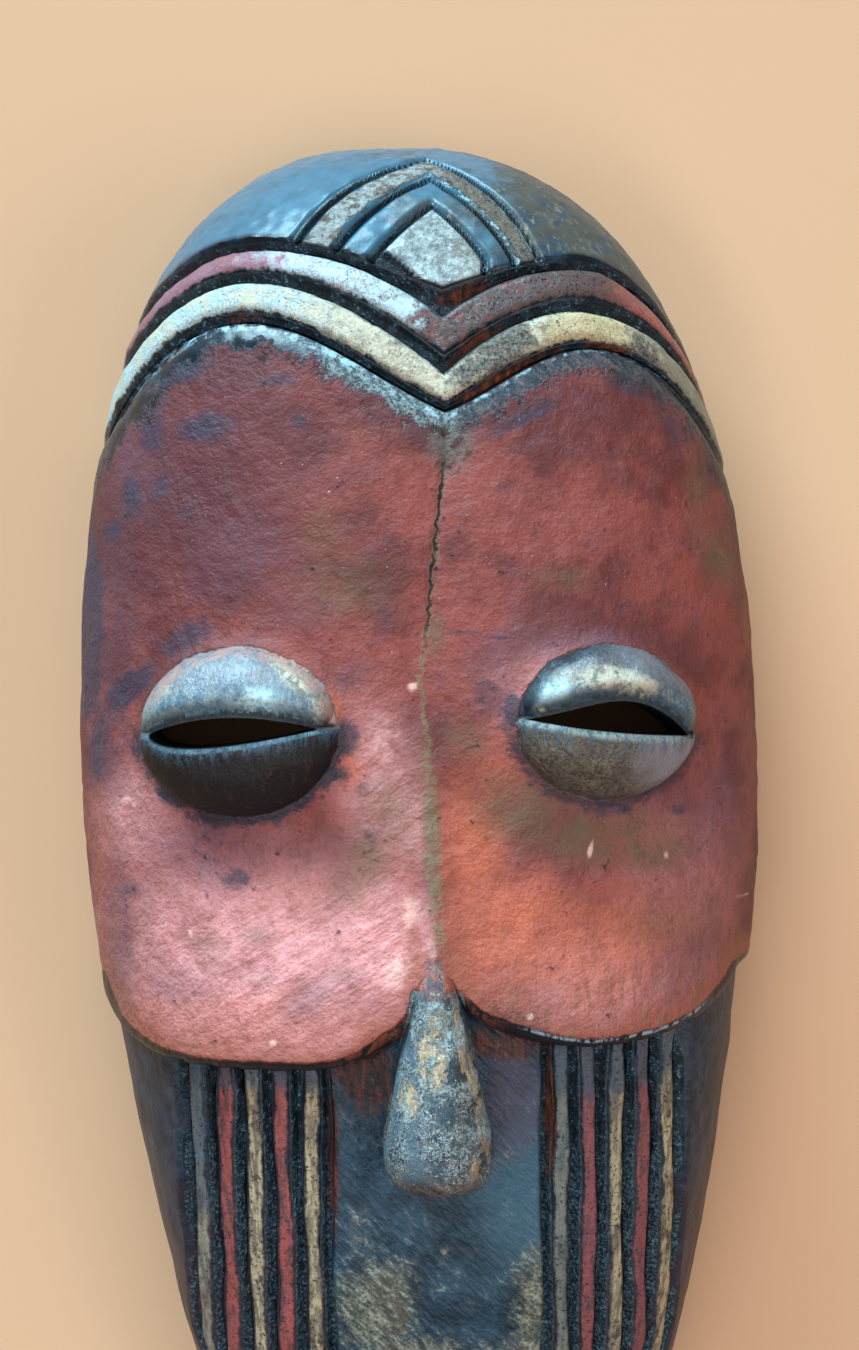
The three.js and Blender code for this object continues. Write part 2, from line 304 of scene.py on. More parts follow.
def groove_profile(inside, softness=0.9):
    """Share of the full depth at a distance inside a groove's edge."""
    return smooth(inside, -0.35 * softness, softness)


def band_depth(x, y):
    depth = np.zeros_like(x)
    for low, high in [(PLATE_EDGE, WHITE_LOW), (WHITE_HIGH, RED_LOW), (RED_HIGH, CROWN_EDGE)]:
        inside = np.minimum(y - band_y(low, x), band_y(high, x) - y) * upright(low, x)
        depth = np.maximum(depth, groove_profile(inside, 0.8))
    return depth


def chevron_depth(x, y):
    size = chevron_size(x, y)
    depth = np.zeros_like(x)
    for inner, outer in CHEVRON_GROOVES:
        inside = np.minimum(size - inner, outer - size) * 0.8
        depth = np.maximum(depth, 0.85 * groove_profile(inside, 1.3))
    above = smooth(y - band_y(CROWN_EDGE, x), -0.5, 0.5)
    return np.maximum(depth, 0.55 * kite_shoulder(x, y)) * above


def kite_shoulder(x, y):
    """The kite's lower left side, cut back from the crown's edge."""
    above = y - band_y(CROWN_EDGE, x)
    inside = smooth(CHEVRON_GROOVES[0][0] - chevron_size(x, y), -1, 0)
    return smooth(3.6 * bump(x, -7.5, 5.2) - above, -0.4, 0.6) * smooth(above, -0.5, 0.5) * inside


def rib_depth(x, y):
    place = np.abs(rib_place(x, y))
    first = FIRST_RIB - RIB_PITCH + RIB_WIDTH / 2
    last = FIRST_RIB + RIB_PITCH * RIB_COUNT - RIB_WIDTH / 2
    ribbed = groove_profile(np.minimum(place - first, last - place))
    gaps = smooth(-rib_distance(x, y), -0.5, 0.95)
    ends = smooth(y, RIB_END_Y, RIB_END_Y + 6)
    return ribbed * gaps * ends


# Grid over the front: rows follow the carved edges, columns follow the ribs

RIBBED_FROM = 22
PLAIN_COLUMNS = 36
RIBBED_COLUMNS = 72
SIDE_COLUMNS = 28
SETTLING_ROUNDS = 40


def column_places():
    """Column coordinates: -1 to 1 across the inner span, and on to -2 and 2 at the rim."""
    plain = np.linspace(0, RIBBED_FROM, PLAIN_COLUMNS, endpoint=False)
    ribbed = np.linspace(RIBBED_FROM, INNER_SPAN, RIBBED_COLUMNS)
    inner = np.concatenate([plain, ribbed]) / INNER_SPAN
    outer = np.linspace(1, 2, SIDE_COLUMNS + 1)[1:]
    half = np.concatenate([inner, outer])
    return np.concatenate([-half[:0:-1], half])


def head_place(head, column, y):
    """X and Z on a head at a column coordinate and a Y."""
    width, crest = head
    wide = np.maximum(width(y), 0.01)
    inner = inner_lean(y) + inner_span(y) * np.clip(column, -1, 1)
    reach = np.clip((inner - lean(y)) / wide, -1, 1)
    start = np.arccos(np.abs(reach) ** (HEAD_POWER / 2))
    turn = start * np.clip(2 - np.abs(column), 0, 1)
    x = lean(y) + np.sign(column) * wide * np.cos(turn) ** (2 / HEAD_POWER)
    z = crest(y) * np.sin(turn) ** (2 / HEAD_POWER)
    outer = np.abs(column) > 1
    return np.where(outer, x, inner), np.where(outer, z, crest(y) * arc(np.abs(reach), HEAD_POWER))


def settle(head, column, row_y):
    """Places where rows that depend on X meet columns that depend on Y."""
    y = row_y(np.zeros_like(column))
    for _ in range(SETTLING_ROUNDS):
        x, _z = head_place(head, column, y)
        y = 0.5 * y + 0.5 * np.clip(row_y(x), -HALF_LENGTH, HALF_LENGTH)
    x, z = head_place(head, column, y)
    return np.stack([x, y, z], axis=-1)


def rows_between(head, columns, low, high, count, spacing, last=False):
    """Rows of points from one guide line to the next, without the next line unless it is the last."""
    shares = np.linspace(0, 1, count + 1)
    if not last:
        shares = shares[:-1]
    rows = []
    for share in spacing(shares):
        rows.append(settle(head, columns, lambda x, s=share: low(x) * (1 - s) + high(x) * s))
    return rows


def level(y):
    return lambda x: np.full_like(x, y)


def even(share):
    return share


def close_low(power):
    """Rows closer together at the low end."""
    return lambda share: share**power


def close_high(power):
    """Rows closer together at the high end."""
    return lambda share: 1 - (1 - share) ** power


def lip_top(x):
    return ledge_y(x) + lip(x)


def lower_rows(columns):
    guides = [
        (level(-HALF_LENGTH), level(-150), 18, close_low(1.8)),
        (level(-150), level(-100), 14, even),
        (level(-100), level(-60), 12, even),
        (level(-60), ledge_y, 22, close_high(1.4)),
    ]
    rows = []
    for low, high, count, spacing in guides:
        rows += rows_between(LOWER, columns, low, high, count, spacing, last=high is ledge_y)
    return rows


def upper_rows(columns):
    low, white_low, white_high, red_low, red_high, crown = [edge_line(edge) for edge in BAND_EDGES]
    guides = [
        (lip_top, level(18), 26, close_low(1.2)),
        (level(18), level(64), 38, even),
        (level(64), low, 34, close_high(1.5)),
        (low, white_low, 8, even),
        (white_low, white_high, 9, even),
        (white_high, red_low, 8, even),
        (red_low, red_high, 11, even),
        (red_high, crown, 8, even),
        (crown, level(172), 64, even),
        (level(172), level(HALF_LENGTH), 20, close_high(2)),
    ]
    rows = []
    for start, end, count, spacing in guides:
        rows += rows_between(UPPER, columns, start, end, count, spacing)
    rows.append(settle(UPPER, columns, level(HALF_LENGTH)))
    return rows


# Carving: how far each place of the grid is pushed out or cut in

BROAD_WAVE = 0.28
LOWER_BROAD_WAVE = 0.25
FINE_WAVE = 0.12
LEDGE_SHOULDER = 0.9
CHEEK_HOLLOW = 2.6
EYE_HOLLOW = 1.2
EYE_SKIRT = 2
VALLEY = 0.8
RIDGE = 0.9
CRACK = 0.7
SWEEP = 0.45
PLATE_ROUNDING = 1.3
BAND_ROUNDING = 0.7


def crack_x(y):
    """X of the crack down the middle of the plate."""
    return 4.4 * smooth(y, 60, 108) - 2 * bump(y, 50, 12) + 0.6 * bump(y, 0, 10)


def carve_lower(points):
    x, y, z = np.moveaxis(points, -1, 0)
    standing = smooth(z, RIM_HEIGHT - 3, RIM_HEIGHT + 3)
    push = -GROOVE_DEPTH * rib_depth(x, y) * standing
    push += LOWER_BROAD_WAVE * waves(points, size=14, seed=11) * smooth(z, 0, 12)
    push += FINE_WAVE * waves(points * [1, 0.4, 1], size=3.5, seed=12) * smooth(z, 0, 12)
    push += lower_forms(x, y)
    return points + outward(LOWER, x, y, z) * push[..., None]


def carve_upper(points):
    x, y, z = np.moveaxis(points, -1, 0)
    standing = smooth(z, RIM_HEIGHT - 3, RIM_HEIGHT + 3)
    cut = np.maximum(band_depth(x, y), chevron_depth(x, y))
    push = -GROOVE_DEPTH * cut * standing
    push += BROAD_WAVE * waves(points, size=16, seed=21) * smooth(z, 10, 40)
    push += FINE_WAVE * waves(points, size=4, seed=22) * smooth(z, 0, 12)
    push += plate_forms(x, y) + band_forms(x, y)
    return points + outward(UPPER, x, y, z) * push[..., None]


def lower_forms(x, y):
    """A soft shoulder under the ledge."""
    below = ledge_y(x) - y
    return LEDGE_SHOULDER * np.exp(-np.maximum(below, 0) / LEDGE_SHOULDER)


def plate_forms(x, y):
    """Soft fullness of the cheeks, a faint ridge between them and worn edges."""
    below_edge = band_y(PLATE_EDGE, x) - y
    plate = smooth(y, -10, 0) * smooth(below_edge, 0, 6)
    aside = x - crack_x(y)
    valley = -VALLEY * bump(aside, 0, 6) * plate * smooth(y, 20, 70)
    ridge = RIDGE * bump(aside, 0, 4) * smooth(-y, -50, 0) * smooth(y, -20, -5)
    crack = -CRACK * bump(aside, 0, 0.7) * plate * smooth(y, 55, 75)
    cheeks = -CHEEK_HOLLOW * bump(y, 20, 30) * smooth(80 - np.abs(x), 0, 30)
    eye_hollows = -EYE_HOLLOW * (bump(x, -41, 24) + bump(x, 38, 22)) * bump(y, 36, 18)
    lobe = bump(x, -35, 26) * bump(y, -8, 15)
    slanted = np.stack([0.35 * x + 0.1 * y, 1.1 * y - 0.7 * x, 0 * x], axis=-1)
    sweep = SWEEP * lobe * waves(slanted, size=7, seed=61)
    rounded = -PLATE_ROUNDING * (1 - smooth(below_edge, -0.5, 4.5)) * (y > 60) * (below_edge > -1)
    return valley + ridge + crack + cheeks + eye_hollows + sweep + rounded + eye_skirts(x, y)


def eye_skirts(x, y):
    """The plate's soft rise towards each eye."""
    rise = np.zeros_like(x)
    for eye in (LEFT_EYE, RIGHT_EYE):
        outside = np.maximum(-eye_distance(eye, x, y), 0)
        rise = np.maximum(rise, EYE_SKIRT * np.exp(-outside / 1.8))
    return rise


def band_forms(x, y):
    """Rounded edges of the brow bands and of the crown's lower edge."""
    push = np.zeros_like(x)
    for low, high in [(WHITE_LOW, WHITE_HIGH), (RED_LOW, RED_HIGH)]:
        inside = np.minimum(y - band_y(low, x), band_y(high, x) - y)
        push -= np.where(inside > -0.5, BAND_ROUNDING * (1 - smooth(inside, -0.4, 1.8)), 0)
    return push


WALL_ROWS = 4
LIP_ROWS = 7


def ledge_rows(low_row, high_row):
    """The wall under the plate and its rounded lip."""
    apart = high_row - low_row
    forward = np.zeros_like(apart)
    forward[:, 1] = apart[:, 1]
    rise = apart - forward
    tall = np.linalg.norm(rise, axis=-1, keepdims=True)
    rounded = np.minimum(1, lip(low_row[:, :1]) / np.maximum(tall, 1e-6))
    rows = []
    for share in np.linspace(0, 1, WALL_ROWS + 1)[1:]:
        rows.append(low_row + rise * (1 - rounded) * share)
    for turn in np.linspace(0, math.pi / 2, LIP_ROWS + 2)[1:-1]:
        lifted = 1 - rounded + rounded * math.sin(turn)
        rows.append(low_row + rise * lifted + forward * (1 - math.cos(turn)))
    return rows


def close_ends(rows, reach):
    """The first and last rows drawn together to a point, and every row set down on the floor."""
    for row, y in [(rows[0], -reach), (rows[-1], reach)]:
        row[:] = [float(lean(np.float64(y))), y, 0]
    for row in rows:
        row[[0, -1], 2] = 0
    return np.array(rows)


def front_rows():
    columns = column_places()
    low = [carve_lower(row) for row in lower_rows(columns)]
    high = [carve_upper(row) for row in upper_rows(columns)]
    return close_ends(low + ledge_rows(low[-1], high[0]) + high, HALF_LENGTH)


# Hollow back

CAVITY_STRETCH = HALF_LENGTH / (HALF_LENGTH - WALL)
CAVITY_ROWS = 91
CAVITY_COLUMNS = 73
STROKE_DEPTH = 0.9


def cavity_half_width(y):
    upper = upper_half_width(y * CAVITY_STRETCH) * (1 - WALL / HALF_WIDTH)
    lower = lower_half_width(y * CAVITY_STRETCH) * (1 - WALL / LOWER_HALF_WIDTH)
    return np.minimum(upper, lower)


def cavity_crest(y):
    low = lower_crest(y * CAVITY_STRETCH) * (1 - WALL / LOWER_CREST) - GROOVE_DEPTH
    high = upper_crest(y * CAVITY_STRETCH) * (1 - WALL / CREST) - GROOVE_DEPTH
    return np.maximum(0, low + (high - low) * smooth(y, -30, 25))


CAVITY = (cavity_half_width, cavity_crest)


def cavity_rows():
    """Rows of the hollow's surface, with the shallow strokes of the adze."""
    reach = HALF_LENGTH - WALL
    turn = np.linspace(math.pi, 0, CAVITY_COLUMNS)
    rows = []
    for share in np.linspace(0, 1, CAVITY_ROWS):
        y = np.full_like(turn, -reach * math.cos(math.pi * share))
        side = np.sign(np.cos(turn)) * np.abs(np.cos(turn)) ** (2 / HEAD_POWER)
        rise = np.maximum(0, np.sin(turn)) ** (2 / HEAD_POWER)
        row = np.stack([lean(y) + cavity_half_width(y) * side, y, cavity_crest(y) * rise], axis=-1)
        strokes = np.abs(waves(row * [1, 0.45, 1], size=9, seed=31)) * smooth(row[:, 2], 0, 14)
        rows.append(row - outward(CAVITY, *row.T) * STROKE_DEPTH * strokes[:, None])
    return close_ends(rows, reach)


# Mesh building

WELD_DISTANCE = 2e-6
SHORTEST_EDGE = 1e-7


def grid_faces(rows, columns, start, flip=False):
    i, j = np.meshgrid(np.arange(rows - 1), np.arange(columns - 1), indexing="ij")
    a = start + i * columns + j
    faces = np.stack([a, a + 1, a + columns + 1, a + columns], axis=-1).reshape(-1, 4)
    return faces[:, ::-1] if flip else faces


def boundary(rows, columns, start):
    """Grid corners round the open edge: up the right side and down the left."""
    right = [start + i * columns + columns - 1 for i in range(rows)]
    left = [start + i * columns for i in range(rows - 2, 0, -1)]
    return right + left


def zipper(points, outer, inner):
    """Triangles that close the flat ring between two loops round the same middle."""

    def turns(loop):
        angles = np.arctan2(points[loop, 0], -points[loop, 1])
        return np.unwrap(np.append(angles, angles[0]))

    outer_turn = turns(outer)
    inner_turn = turns(inner)
    faces = []
    i = 0
    j = 0
    while i < len(outer) or j < len(inner):
        a = outer[i % len(outer)]
        b = inner[j % len(inner)]
        next_outer = outer_turn[i + 1] if i < len(outer) else math.inf
        next_inner = inner_turn[j + 1] if j < len(inner) else math.inf
        if next_outer <= next_inner:
            faces.append((a, b, outer[(i + 1) % len(outer)]))
            i += 1
        else:
            faces.append((a, b, inner[(j + 1) % len(inner)]))
            j += 1
    return faces


def make_mesh(name, points, faces):
    mesh = bpy.data.meshes.new(name)
    places = (np.asarray(points) / 1000).tolist()
    mesh.from_pydata(places, [], [tuple(int(corner) for corner in face) for face in faces])
    mesh.validate()
    shape = bpy.data.objects.new(name, mesh)
    bpy.context.scene.collection.objects.link(shape)
    return shape


def weld(shape):
    body = bmesh.new()
    body.from_mesh(shape.data)
    bmesh.ops.remove_doubles(body, verts=body.verts, dist=WELD_DISTANCE)
    bmesh.ops.dissolve_degenerate(body, edges=body.edges, dist=SHORTEST_EDGE)
    bmesh.ops.recalc_face_normals(body, faces=body.faces)
    body.to_mesh(shape.data)
    body.free()


def make_shell():
    front = front_rows()
    hollow = cavity_rows()
    count = front.shape[0] * front.shape[1]
    points = np.concatenate([front.reshape(-1, 3), hollow.reshape(-1, 3)])
    faces = list(grid_faces(front.shape[0], front.shape[1], 0))
    faces += list(grid_faces(hollow.shape[0], hollow.shape[1], count, flip=True))
    outer = boundary(front.shape[0], front.shape[1], 0)
    inner = boundary(hollow.shape[0], hollow.shape[1], count)
    faces += zipper(points, outer, inner)
    shell = make_mesh("mask", points, faces)
    weld(shell)
    return shell


# Eyes and mouth: domes of two lids, cut by slits

LEFT_EYE = {"x": -41, "y": 41.5, "z": 71, "across": 22, "along": 18.2, "rise": 12, "tilt": -0.3}
RIGHT_EYE = {"x": 38, "y": 42, "z": 72, "across": 20.5, "along": 16.6, "rise": 11.5, "tilt": 0.27}
MOUTH = {"x": -1, "y": -127, "z": 48, "across": 17, "along": 8, "rise": 7, "tilt": 0}
LEFT_SLIT = {"from": (-60, 41.2), "to": (-24, 41.9), "up": (3.1, 0.9), "down": (3.2, 0.55)}
RIGHT_SLIT = {"from": (19.8, 43.2), "to": (55.6, 38.7), "up": (6, 1.5), "down": (0.9, 0.9)}
MOUTH_SLIT = {"from": (-15, -127), "to": (13, -127), "up": (1.2, 1), "down": (1.2, 1)}
SLIT_FULLNESS = 0.85
LID_START = -math.pi / 5
LID_SPACING = 0.92
LID_WAVE = 0.3
UPPER_FOLD = 3.2
LOWER_FOLD = 1
SLIT_BOTTOM = 40
MOUTH_BOTTOM = 50.5
CUTTER_TOP = 100
SHARP_ANGLE = math.radians(55)
EYE_GRID = (112, 44)
MOUTH_GRID = (64, 24)
OPENINGS = [
    (LEFT_EYE, LEFT_SLIT, EYE_GRID, SLIT_BOTTOM),
    (RIGHT_EYE, RIGHT_SLIT, EYE_GRID, SLIT_BOTTOM),
    (MOUTH, MOUTH_SLIT, MOUTH_GRID, MOUTH_BOTTOM),
]


def slit_line(slit, x):
    """Middle, upper and lower Y of a slit at X; its up and down say how far it opens and how skewed."""
    (ax, ay), (bx, by) = slit["from"], slit["to"]
    share = np.clip((x - ax) / (bx - ax), 0, 1)
    middle = ay + (by - ay) * share
    openings = (slit["up"], slit["down"])
    rise, fall = [far * np.sin(math.pi * share**skew) ** SLIT_FULLNESS for far, skew in openings]
    return middle, middle + rise, middle - fall


def ball(eye, turn, lift):
    """Points of a tilted dome at angles round it and up it."""
    x = eye["across"] * np.cos(turn) * np.cos(lift)
    y = eye["along"] * np.sin(turn) * np.cos(lift)
    z = eye["rise"] * np.sin(lift)
    tilt = eye["tilt"]
    turned_x = x * math.cos(tilt) + z * math.sin(tilt)
    turned_z = -x * math.sin(tilt) + z * math.cos(tilt)
    return np.stack([eye["x"] + turned_x, eye["y"] + y, eye["z"] + turned_z], axis=-1)


def make_dome(eye, slit, sides, rings):
    """A dome with rounded lids that fold in towards the slit."""
    turns = np.linspace(0, 2 * math.pi, sides, endpoint=False)
    points = []
    for ring in range(rings + 1):
        lift = LID_START + (math.pi / 2 - LID_START) * (ring / rings) ** LID_SPACING
        points.append(ball(eye, turns, min(lift, math.pi / 2)))
    points = np.array(points)
    x, y = points[..., 0], points[..., 1]
    middle, top, bottom = slit_line(slit, x)
    upper_fold = UPPER_FOLD * (1 - smooth(y - top, -0.2, 5)) * (y > middle)
    lower_fold = LOWER_FOLD * (1 - smooth(bottom - y, -0.2, 1.5)) * (y <= middle)
    points[..., 2] -= upper_fold + lower_fold
    points += LID_WAVE * waves(points, size=6, seed=41)[..., None] * [0.7, 0.7, 1]
    return closed_rings("dome", points)


def closed_rings(name, rings):
    """A closed shape from rings of equal size, capped at both ends."""
    count = rings.shape[1]
    first = rings[0].mean(axis=0)
    last = rings[-1].mean(axis=0)
    points = np.concatenate([rings.reshape(-1, 3), [first, last]])
    faces = []
    for i in range(rings.shape[0] - 1):
        for j in range(count):
            k = (j + 1) % count
            faces.append((i * count + j, i * count + k, (i + 1) * count + k, (i + 1) * count + j))
    end = (rings.shape[0] - 1) * count
    low = rings.shape[0] * count
    for j in range(count):
        k = (j + 1) % count
        faces.append((low, k, j))
        faces.append((low + 1, end + j, end + k))
    shape = make_mesh(name, points, faces)
    weld(shape)
    return shape


def make_cutter(slit, bottom):
    start = slit["from"][0]
    length = slit["to"][0] - start
    x = start + length * (1 - np.cos(np.linspace(0, math.pi, 61))) / 2
    _middle, upper, lower = slit_line(slit, x)
    loop = list(zip(x, lower)) + list(zip(x[-2:0:-1], upper[-2:0:-1]))
    rings = np.array([[(px, py, z) for px, py in loop] for z in (bottom, CUTTER_TOP)])
    return closed_rings("cutter", rings)


# Nose: a teardrop that hangs from the notch of the ledge

NOSE_X = 0.1
NOSE_TOP_Y = -4
NOSE_LENGTH = 54
NOSE_HALF_WIDTH = 11.8
NOSE_NECK = 0.42
NOSE_ROUND_FROM = 0.8
NOSE_ROUND_POWER = 3
NOSE_RINGS = 64
NOSE_SIDES = 56
NOSE_HEIGHT = 79
NOSE_RISE = 14
NOSE_TIP_DROP = 9
NOSE_ROOT_DROP = 6
NOSE_DEPTH = 11
NOSE_DEEPER = 3
NOSE_END = 0.995
NOSE_CLOSING_FROM = 0.9
NOSE_WAVE = 0.22


def nose_half_width(share):
    neck = NOSE_NECK * smooth(share, -0.05, 0.2)
    spread = (1 - NOSE_NECK) * np.clip((share - 0.15) / 0.65, 0, 1)
    tip = arc((share - NOSE_ROUND_FROM) / (1 - NOSE_ROUND_FROM), NOSE_ROUND_POWER)
    return NOSE_HALF_WIDTH * (neck + spread) * tip


def make_nose():
    turns = np.linspace(0, 2 * math.pi, NOSE_SIDES, endpoint=False)
    rings = []
    for share in np.sin(math.pi / 2 * np.linspace(0, NOSE_END, NOSE_RINGS)):
        width = nose_half_width(np.float64(share))
        deep = NOSE_DEPTH + NOSE_DEEPER * share
        root = 1 - smooth(share, -0.05, 0.2)
        top = NOSE_HEIGHT + NOSE_RISE * share - NOSE_TIP_DROP * share**5 - NOSE_ROOT_DROP * root
        y = np.full_like(turns, NOSE_TOP_Y - NOSE_LENGTH * share)
        x = NOSE_X + width * np.cos(turns)
        closing = arc(np.clip((share - NOSE_CLOSING_FROM) / 0.1, 0, 1), 2)
        z = top - deep + deep * np.sin(turns) * closing
        rings.append(np.stack([x, y, z], axis=-1))
    rings = np.array(rings)
    rings += NOSE_WAVE * waves(rings, size=7, seed=51)[..., None] * [1, 0, 1]
    return closed_rings("nose", rings)


def combine(shape, other, operation):
    modifier = shape.modifiers.new("join", "BOOLEAN")
    modifier.operation = operation
    modifier.solver = "MANIFOLD"
    modifier.object = other
    done = bpy.data.meshes.new_from_object(shape.evaluated_get(bpy.context.evaluated_depsgraph_get()))
    shape.modifiers.clear()
    shape.data = done
    bpy.data.objects.remove(other)


def make_mask():
    mask = make_shell()
    for eye, slit, grid, _bottom in OPENINGS:
        combine(mask, make_dome(eye, slit, *grid), "UNION")
    combine(mask, make_nose(), "UNION")
    for _eye, slit, _grid, bottom in OPENINGS:
        combine(mask, make_cutter(slit, bottom), "DIFFERENCE")
    mask.data.shade_smooth()
    mask.data.set_sharp_from_angle(angle=SHARP_ANGLE)
    return mask


# Distances that tell the paint where it lies


def between(low, high, x, y):
    above = (y - band_y(low, x)) * upright(low, x)
    below = (band_y(high, x) - y) * upright(high, x)
    return np.minimum(above, below)


def ledge_distance(x, y, z):
    """Distance up from the ledge's lip, negative down its wall and on the lower face."""
    above = y - ledge_y(x)
    level_gap = above / np.sqrt(1 + slope(ledge_y, x, 0.6) ** 2)
    drop = np.maximum(0, height(UPPER, x, np.maximum(y, ledge_y(x))) - z - 0.6)
    on_wall = smooth(above, lip(x) + 1.5, lip(x) - 0.5)
    return level_gap - lip(x) * 0.45 - drop * on_wall


def eye_distance(eye, x, y):
    tilt = eye["tilt"]
    wide = math.hypot(eye["across"] * math.cos(tilt), eye["rise"] * math.sin(tilt))
    reach = np.hypot((x - eye["x"]) / wide, (y - eye["y"]) / eye["along"])
    return (1 - reach) * (wide + eye["along"]) / 2


def slit_distance(slit, x, y):
    _middle, top, bottom = slit_line(slit, x)
    return np.maximum(y - top, bottom - y)


def nose_distance(x, y):
    share = np.clip((NOSE_TOP_Y - y) / NOSE_LENGTH, 0, 1)
    aside = nose_half_width(share) - np.abs(x - NOSE_X)
    ends = np.minimum(NOSE_TOP_Y - y, y - NOSE_TOP_Y + NOSE_LENGTH)
    return np.minimum(aside, ends + 0.5)


def inside_share(x, y, z):
    """1 in the hollow and under the rim, 0 on the painted front."""
    upper = y > ledge_y(x)
    wide = np.where(upper, upper_half_width(y), lower_half_width(y))
    high = np.where(upper, upper_crest(y), lower_crest(y))
    side = np.abs(x - lean(y)) / np.maximum(wide, 1)
    rise = np.maximum(z, 0) / np.maximum(high, 1)
    depth = 1 - (side**HEAD_POWER + rise**HEAD_POWER) ** (1 / HEAD_POWER)
    return np.maximum(smooth(depth, 0.07, 0.1), smooth(z, 0.6, 0.1))
